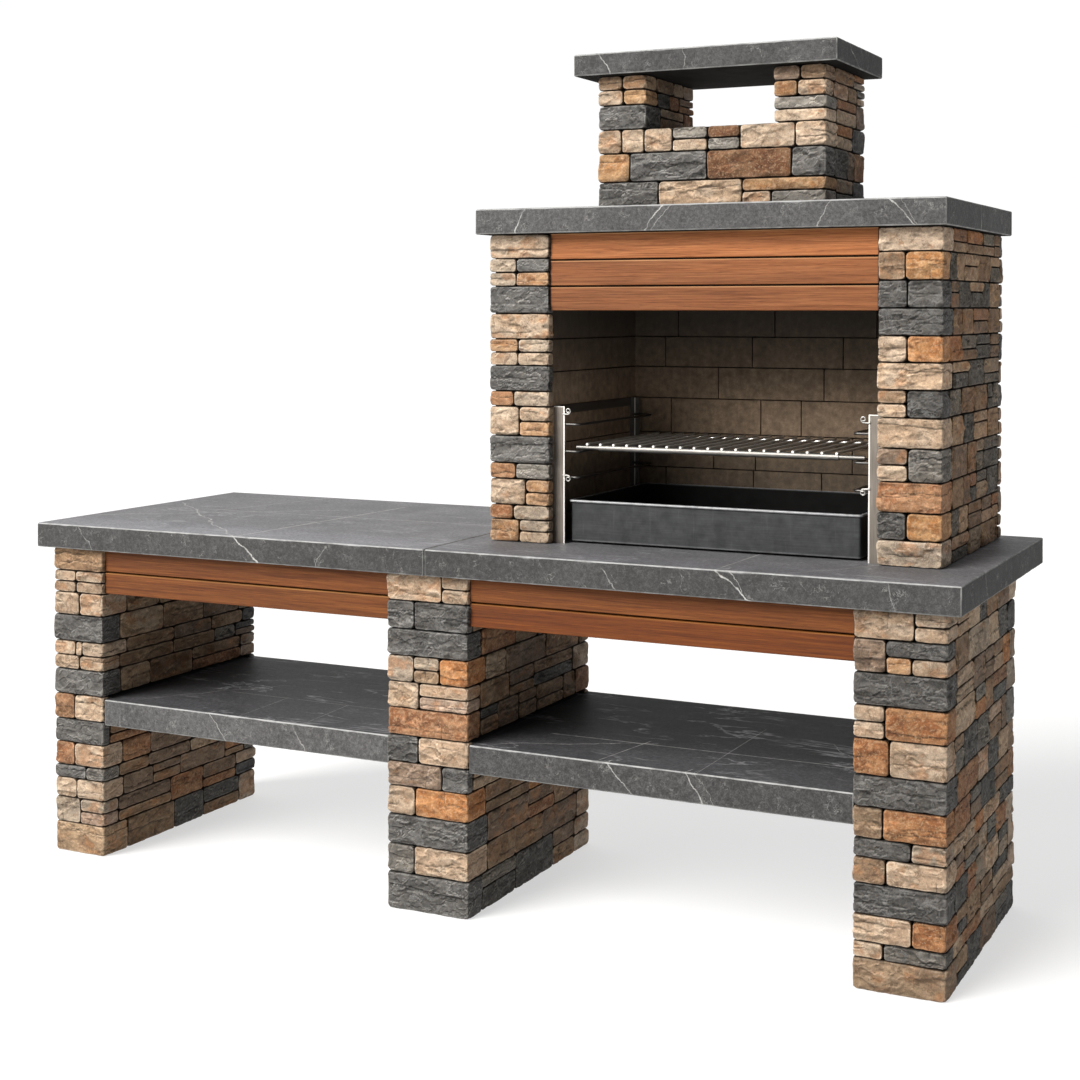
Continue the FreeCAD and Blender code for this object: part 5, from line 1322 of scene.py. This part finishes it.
slab_cap = slab_material("slab_cap", veins=(
    vein3((0.298, -0.195, 1.975), (0.327, -0.195, 1.934), (0.31, -0.10, 1.975), 0.0018, 0.85, AY, -0.2, -0.08),
    vein3((0.859, -0.105, 1.9835), (0.859, -0.0455, 1.946), (0.78, -0.07, 1.9835), 0.0015, 0.6, AX, 0.75, 0.87),
    vein3((0.50, -0.195, 1.98), (0.512, -0.195, 1.93), (0.54, -0.10, 1.98), 0.0013, 0.5, AY, -0.2, -0.05),
), base=0.83, rough=(0.58, 0.63), spec=0.10, painted_top_light=1.3)
stone_mat = stone_material()
brick_mat = brick_material()
concrete_mat = concrete_material()
UP_TIP = ((FB_IN[0] + 27.0 - OX) / 1000.0, (FB_IN[1] - 27.0 - OX) / 1000.0)
upright_mat = {side: steel_material("stainless_upright_" + side, (900.0, 900.0, 18.0), tone, (0.40, 0.55),
                                    painted_highlight=((AX, tip - 0.0030, tip + 0.0030), (AZ, 1.1690, 1.1720)))
               for side, tip, tone in (("left", UP_TIP[0], (0.21, 0.186, 0.162)), ("right", UP_TIP[1], (0.192, 0.168, 0.145)))}
sooty_mat = steel_material("stainless_sooty", (700.0, 700.0, 24.0), (0.105, 0.095, 0.085), (0.40, 0.56), metal=0.8)
rear_mat = {side: steel_material("stainless_rear_" + side, (700.0, 700.0, 24.0), (0.105, 0.095, 0.085), (0.40, 0.56), metal=0.6,
                                 painted_highlight=((AX, min(a, b), max(a, b)),))
            for side, a, b in (("left", UP_TIP[0] - 0.0150, UP_TIP[0] - 0.0122), ("right", UP_TIP[1] + 0.0150, UP_TIP[1] + 0.0122))}
wire_mat = steel_material("stainless_wire", (40.0, 40.0, 40.0), (0.11, 0.105, 0.10), (0.36, 0.48))
bar_mat = steel_material("stainless_bar", (60.0, 400.0, 400.0), (0.215, 0.205, 0.192), (0.40, 0.54))
# the rear bar is a much lighter copy of the bar steel: a painted highlight
rear_bar_mat = steel_material("stainless_rear_bar", (60.0, 400.0, 400.0), (0.86, 0.83, 0.79), (0.26, 0.38))
hook_mat = steel_material("stainless_hook", (300.0, 300.0, 300.0), (0.40, 0.39, 0.37), (0.34, 0.46))
grill_mat = steel_material("stainless_grill", (400.0, 30.0, 400.0), (0.40, 0.38, 0.355), (0.30, 0.42), metal=0.45,
                           painted_highlight=((AY, -0.20, (268.0 - OY + 3.0) / 1000.0),))
underside_shade_mat = underside_shade_material()
tray_mat = tray_material()
foot_mat = steel_material("tray_foot", (300.0, 300.0, 300.0), (0.05, 0.05, 0.05), (0.45, 0.6))
hood_mat = hood_material()


def dress(node, mat, bevel=0.0, segments=2):
    o = NODES[node]
    o.data.materials.clear()
    o.data.materials.append(mat)
    if bevel > 0:
        b = o.modifiers.new("ease", "BEVEL")
        b.width = bevel
        b.segments = segments
        b.limit_method = "ANGLE"
        b.angle_limit = math.radians(40)


# each board's tone and tint are painted light and shade: the top board under the mantle lighter, the boards under the
# worktops darker and warmer
SHADED_WOOD_TINT = (1.0, 0.84, 0.45)
WOOD = {"mantle_fascia_top_board": ((0.0, 0.3, 0.1), 1.42, (1.0, 1.0, 0.97)),
        "mantle_fascia_middle_board": ((3.1, 0.9, 2.7), 0.98, (1.0, 0.98, 0.94)),
        "mantle_fascia_bottom_board": ((7.7, 2.1, 5.3), 0.88, (1.0, 0.98, 0.94)),
        "left_fascia_upper_board": ((11.9, 3.3, 1.9), 0.61, SHADED_WOOD_TINT), "left_fascia_lower_board": ((15.3, 4.1, 8.3), 0.62, SHADED_WOOD_TINT),
        "right_fascia_upper_board": ((19.1, 5.7, 3.7), 0.66, SHADED_WOOD_TINT), "right_fascia_lower_board": ((23.9, 6.3, 9.1), 0.52, (1.0, 0.70, 0.22))}
SLABS = {"left_worktop": slab_left, "right_worktop": slab_right, "left_shelf": slab_shelf_l, "right_shelf": slab_shelf_r,
         "mantle_slab": slab_mantle, "chimney_cap": slab_cap}
for n in NODES:
    if n.endswith("_stones"):
        continue
    if n.endswith("_core") or n.endswith("_wall") or n.endswith("_lintel"):
        dress(n, concrete_mat)
    elif n in SLABS:
        lo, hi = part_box(n)
        lo, hi = [float(v) for v in lo], [float(v) for v in hi]
        hole = None
        blocks = [(lo, hi)]
        if n.endswith("_shelf"):
            t = 0.046
            y0, y1 = (TENON_Y[0] - OY) / 1000.0, (TENON_Y[1] - OY) / 1000.0
            z0, z1 = lo[2], hi[2]
            blocks = [((lo[0] + t, lo[1], z0), (hi[0] - t, hi[1], z1)),
                      ((lo[0], y0, z0 + 0.0005), (lo[0] + t + 0.01, y1, z1 - 0.0005)),
                      ((hi[0] - t - 0.01, y0, z0 + 0.0005), (hi[0], y1, z1 - 0.0005))]
        if n == "mantle_slab":
            hole = ((1586 - OX) / 1000.0, (1892 - OX) / 1000.0, (328 - OY) / 1000.0, (487 - OY) / 1000.0)
        build_slab(n + "_stone", n, blocks, SLABS[n], sorted(SLABS).index(n) * 7 + 3, hole,
                   under=underside_shade_mat if n in ("chimney_cap", "mantle_slab") else None)
    elif n.endswith("_board"):
        lo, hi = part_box(n)
        dress(n, wood_material("wood_" + n, *WOOD[n], upper=float(hi[2]), ends=(float(lo[0]), float(hi[0]))), 0.0018, 3)
    elif n.endswith("_bricks"):
        dress(n, brick_mat, 0.0022, 2)
    elif n.startswith("hood_"):
        dress(n, hood_mat)
    elif n == "ember_tray":
        build_tray(n)
    elif n == "tray_feet":
        dress(n, foot_mat, 0.0008, 2)
    elif n.endswith("_pigtail_hooks"):
        build_hooks(n)
    elif n == "grate_rods":
        dress(n, grill_mat, 0.0016, 3)
    elif n == "grate_rear_bar":
        dress(n, rear_bar_mat, 0.0010, 2)
    elif n in ("grate_front_rod", "grate_front_tube"):
        dress(n, bar_mat, 0.0010, 2)
    elif "rear_upright" in n:
        dress(n, rear_mat[n.split("_")[0]], 0.0006, 2)
    elif n.endswith("_rail"):
        dress(n, sooty_mat, 0.0006, 2)
    elif n.endswith("_upright"):
        dress(n, upright_mat[n.split("_")[0]], 0.0006, 2)
    else:
        dress(n, wire_mat)

# --------------------------------------------------------------------- stones
# The inner sides of the legs, in the bays, are laid with the browner stones, partly as painted shade in the bays.
BROWNER = {"b": "n", "t": "n", "p": "r", "y": "k", "o": "r", "g": "k"}
# How light the front stones of each wall are: slates, orange and rust ones, all others. Partly each wall's own colour,
# partly painted light; the right leg's are darker, as painted shade away from the light.
WALL_TONE_AND_LIGHT = {"left_leg_stones": (1.28, 0.95, 1.02), "centre_leg_stones": (1.14, 1.12, 1.12),
             "right_leg_stones": (0.80, 0.95, 1.05), "firebox_left_stones": (1.42, 1.18, 1.30),
             "firebox_right_stones": (0.98, 1.18, 1.27), "chimney_stones": (1.48, 0.63, 1.24)}
# The orange stones of the firebox and the chimney are paler, more of an ochre.
OCHRE = {"firebox_left_stones": (1.22, 1.50, 1.95), "firebox_right_stones": (1.22, 1.36, 1.45),
         "chimney_stones": (1.15, 1.38, 1.65), "right_leg_stones": (1.12, 1.36, 1.70)}
layout = stone_layout()
groups = {}
for idx, st in enumerate(layout):
    ways = set()
    for a, b in zip(st["path"][:-1], st["path"][1:]):
        dx, dy = b[0] - a[0], b[1] - a[1]
        ways.add(("right" if dy > 0 else "left") if abs(dy) > abs(dx) else ("front" if dx > 0 else "back"))
    face = ways.pop() if len(ways) == 1 else ("front" if "front" in ways else "back")
    pick = Rng(900 + idx).r()
    if st["wall"].endswith("_leg_stones") and face in ("right", "left"):
        outer = (st["wall"].startswith("right") and face == "right") or (st["wall"].startswith("left") and face == "left")
        if pick < (0.3 if outer else 0.72):
            st["code"] = BROWNER.get(st["code"], st["code"])
        if not outer and st["code"] == "d" and st["z0"] > 130.0 and Rng(1700 + idx).r() < 0.6:
            st["code"] = "n"
        if not outer and st["wall"] == "left_leg_stones" and st["code"] == "d" and sum(q[1] for q in st["path"]) / len(st["path"]) < 330.0:
            st["code"] = "n" if pick < 0.6 else "k"
    elif face in ("right", "left") and pick < 0.3:
        st["code"] = BROWNER.get(st["code"], st["code"])
    # right-facing stones get a warm tint, darkest on the firebox: painted warm shade on the sides away from the light
    if st["wall"] == "firebox_right_stones" and face == "right":
        st["tint"] = (0.96, 0.83, 0.67)
    elif face == "right":
        st["tint"] = (1.0, 0.96, 0.88)
    if face == "front" and st["wall"] == "firebox_left_stones":
        # height above which the firebox-facing returns get a painted shadow
        st["gap_z"] = 1000.0 * float(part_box("mantle_fascia_bottom_board")[0][2])
    if face == "front" and st["wall"] in WALL_TONE_AND_LIGHT:
        g = WALL_TONE_AND_LIGHT[st["wall"]][0 if st["code"] in "dg" else (1 if st["code"] in "or" else 2)]
        st["tint"] = (g, 0.98 * g, 0.95 * g)
        if st["wall"] == "right_leg_stones" and st["code"] == "r":
            st["tint"] = (g, 0.90 * g, 0.74 * g)
        elif st["wall"] == "left_leg_stones" and st["code"] == "n":
            st["tint"] = (1.18 * g, 1.15 * g, 1.08 * g) if st["z0"] < 100.0 else (1.02 * g, 0.90 * g, 0.78 * g)
        if st["code"] == "o" and st["wall"] in OCHRE and not (st["wall"] == "firebox_right_stones" and 1000.0 < st["z0"] < 1440.0):
            st["tint"] = OCHRE[st["wall"]]
    groups.setdefault((st["wall"], face), []).append((idx, st, {"front": 2.6, "right": 3.4}.get(face, 5.4)))
tris = {}
CORNERS = {"left_leg_stones": LEG_X[0] + LEG_Y + (4.0, LEG_Z - 3.0), "centre_leg_stones": LEG_X[1] + LEG_Y + (4.0, LEG_Z - 3.0),
           "right_leg_stones": LEG_X[2] + LEG_Y + (4.0, LEG_Z - 3.0), "chimney_stones": CH_X + CH_Y + (CH_ZB[-1] + 3.0, CH_ZB[0] - 3.0),
           "firebox_left_stones": FB_X + FB_Y + (TOP_Z + 3.0, FB_TOP - 3.0), "firebox_right_stones": FB_X + FB_Y + (TOP_Z + 3.0, FB_TOP - 3.0),
           "firebox_back_stones": FB_X + FB_Y + (TOP_Z + 3.0, FB_TOP - 3.0)}
for (wall, side), stones in groups.items():
    posts = []
    if side in ("front", "back") and wall in CORNERS:
        x0, x1, y0, y1, z0, z1 = CORNERS[wall]
        y, sy = (y0, 1.0) if side == "front" else (y1, -1.0)
        inset = 8.5 if side == "front" else 6.5
        if wall != "firebox_right_stones":
            posts.append((x0, y, 1.0, sy, z0, z1, inset))
        if wall != "firebox_left_stones":
            posts.append((x1, y, -1.0, sy, z0, z1, inset))
        if wall == "chimney_stones":
            posts.append((x0 + CH_PIER, y, -1.0, sy, CH_ZB[3] + 1.0, z1, inset))
            posts.append((x1 - CH_PIER, y, 1.0, sy, CH_ZB[3] + 1.0, z1, inset))
    ob = build_stones(wall + "_" + side, stones, wall, posts)
    ob.data.materials.append(stone_mat)
    tris[ob.name] = sum(len(p.vertices) - 2 for p in ob.data.polygons)
print("stone triangles", tris, sum(tris.values()))


# ------------------------------------------------------- floor, light, camera
def floor():
    me = bpy.data.meshes.new("floor")
    s = 60.0
    me.from_pydata([(-s, -s, 0), (s, -s, 0), (s, s, 0), (-s, s, 0)], [], [(0, 1, 2, 3)])
    ob = bpy.data.objects.new("floor", me)
    bpy.context.scene.collection.objects.link(ob)
    m = Mat("floor")
    m.set("Base Color", m.ramp(m.noise(m.co, 0.8, 2.0, 0.5), [(0.3, 0.42), (0.7, 0.44)]))
    m.set("Emission Color", (1.0, 1.0, 1.0, 1.0))
    m.set("Emission Strength", 0.56)
    m.set("Roughness", 0.95)
    m.set("Specular IOR Level", 0.1)
    ob.data.materials.append(m.m)


def soft_sun(name, toward, strength, spread, colour):
    """Broad, even light, the same all over the floor."""
    d = bpy.data.lights.new(name, "SUN")
    d.energy = strength
    d.angle = math.radians(spread)
    d.color = colour
    o = bpy.data.objects.new(name, d)
    bpy.context.scene.collection.objects.link(o)
    o.location = [4.0 * v for v in toward]
    o.rotation_euler = Vector(toward).to_track_quat("Z", "Y").to_euler()


def soft_box(name, loc, target, size, power, colour):
    d = bpy.data.lights.new(name, "AREA")
    d.shape = "RECTANGLE"
    d.size, d.size_y = size
    d.energy = power
    d.color = colour
    o = bpy.data.objects.new(name, d)
    bpy.context.scene.collection.objects.link(o)
    o.location = loc
    o.rotation_euler = (Vector(target) - Vector(loc)).to_track_quat("-Z", "Y").to_euler()


def studio_world():
    """White behind, dim overhead, to the front and to the right."""
    world = bpy.data.worlds.new("studio")
    world.use_nodes = True
    t = world.node_tree
    bg = t.nodes["Background"]
    co = t.nodes.new("ShaderNodeTexCoord")
    dot = t.nodes.new("ShaderNodeVectorMath")
    dot.operation = "DOT_PRODUCT"
    dot.inputs[1].default_value = (-0.444, 0.896, 0.0)
    t.links.new(co.outputs["Generated"], dot.inputs[0])
    r = t.nodes.new("ShaderNodeMapRange")
    r.interpolation_type = "SMOOTHSTEP"
    r.inputs["From Min"].default_value = -0.1
    r.inputs["From Max"].default_value = 0.75
    r.inputs["To Min"].default_value = 0.22
    r.inputs["To Max"].default_value = 1.02
    t.links.new(dot.outputs["Value"], r.inputs["Value"])
    t.links.new(r.outputs["Result"], bg.inputs["Strength"])
    bg.inputs["Color"].default_value = (1.0, 1.0, 1.0, 1)
    bpy.context.scene.world = world


floor()
studio_world()
soft_sun("key", (-0.42, -0.85, 0.62), 5.0, 34.0, (1.0, 0.985, 0.955))
soft_box("side", (-3.4, -4.0, 2.6), (-0.6, 0.0, 0.7), (2.4, 2.4), 105.0, (1.0, 0.985, 0.96))
bpy.context.scene.view_settings.view_transform = "Standard"

cam = bpy.data.cameras.new("camera")
cam.sensor_fit = "HORIZONTAL"
cam.sensor_width = 36.0
cam.lens = 1772.70 / 1080.0 * 36.0
cam.shift_x = 0.0
cam.shift_y = -0.1648
cam.clip_end = 200.0
co = bpy.data.objects.new("camera", cam)
bpy.context.scene.collection.objects.link(co)
co.location = (3.1786 - OX / 1000.0, -3.4930 - OY / 1000.0, 1.3987)
co.rotation_euler = (math.pi / 2 - 0.0300, 0.0, 0.4610)
bpy.context.scene.camera = co
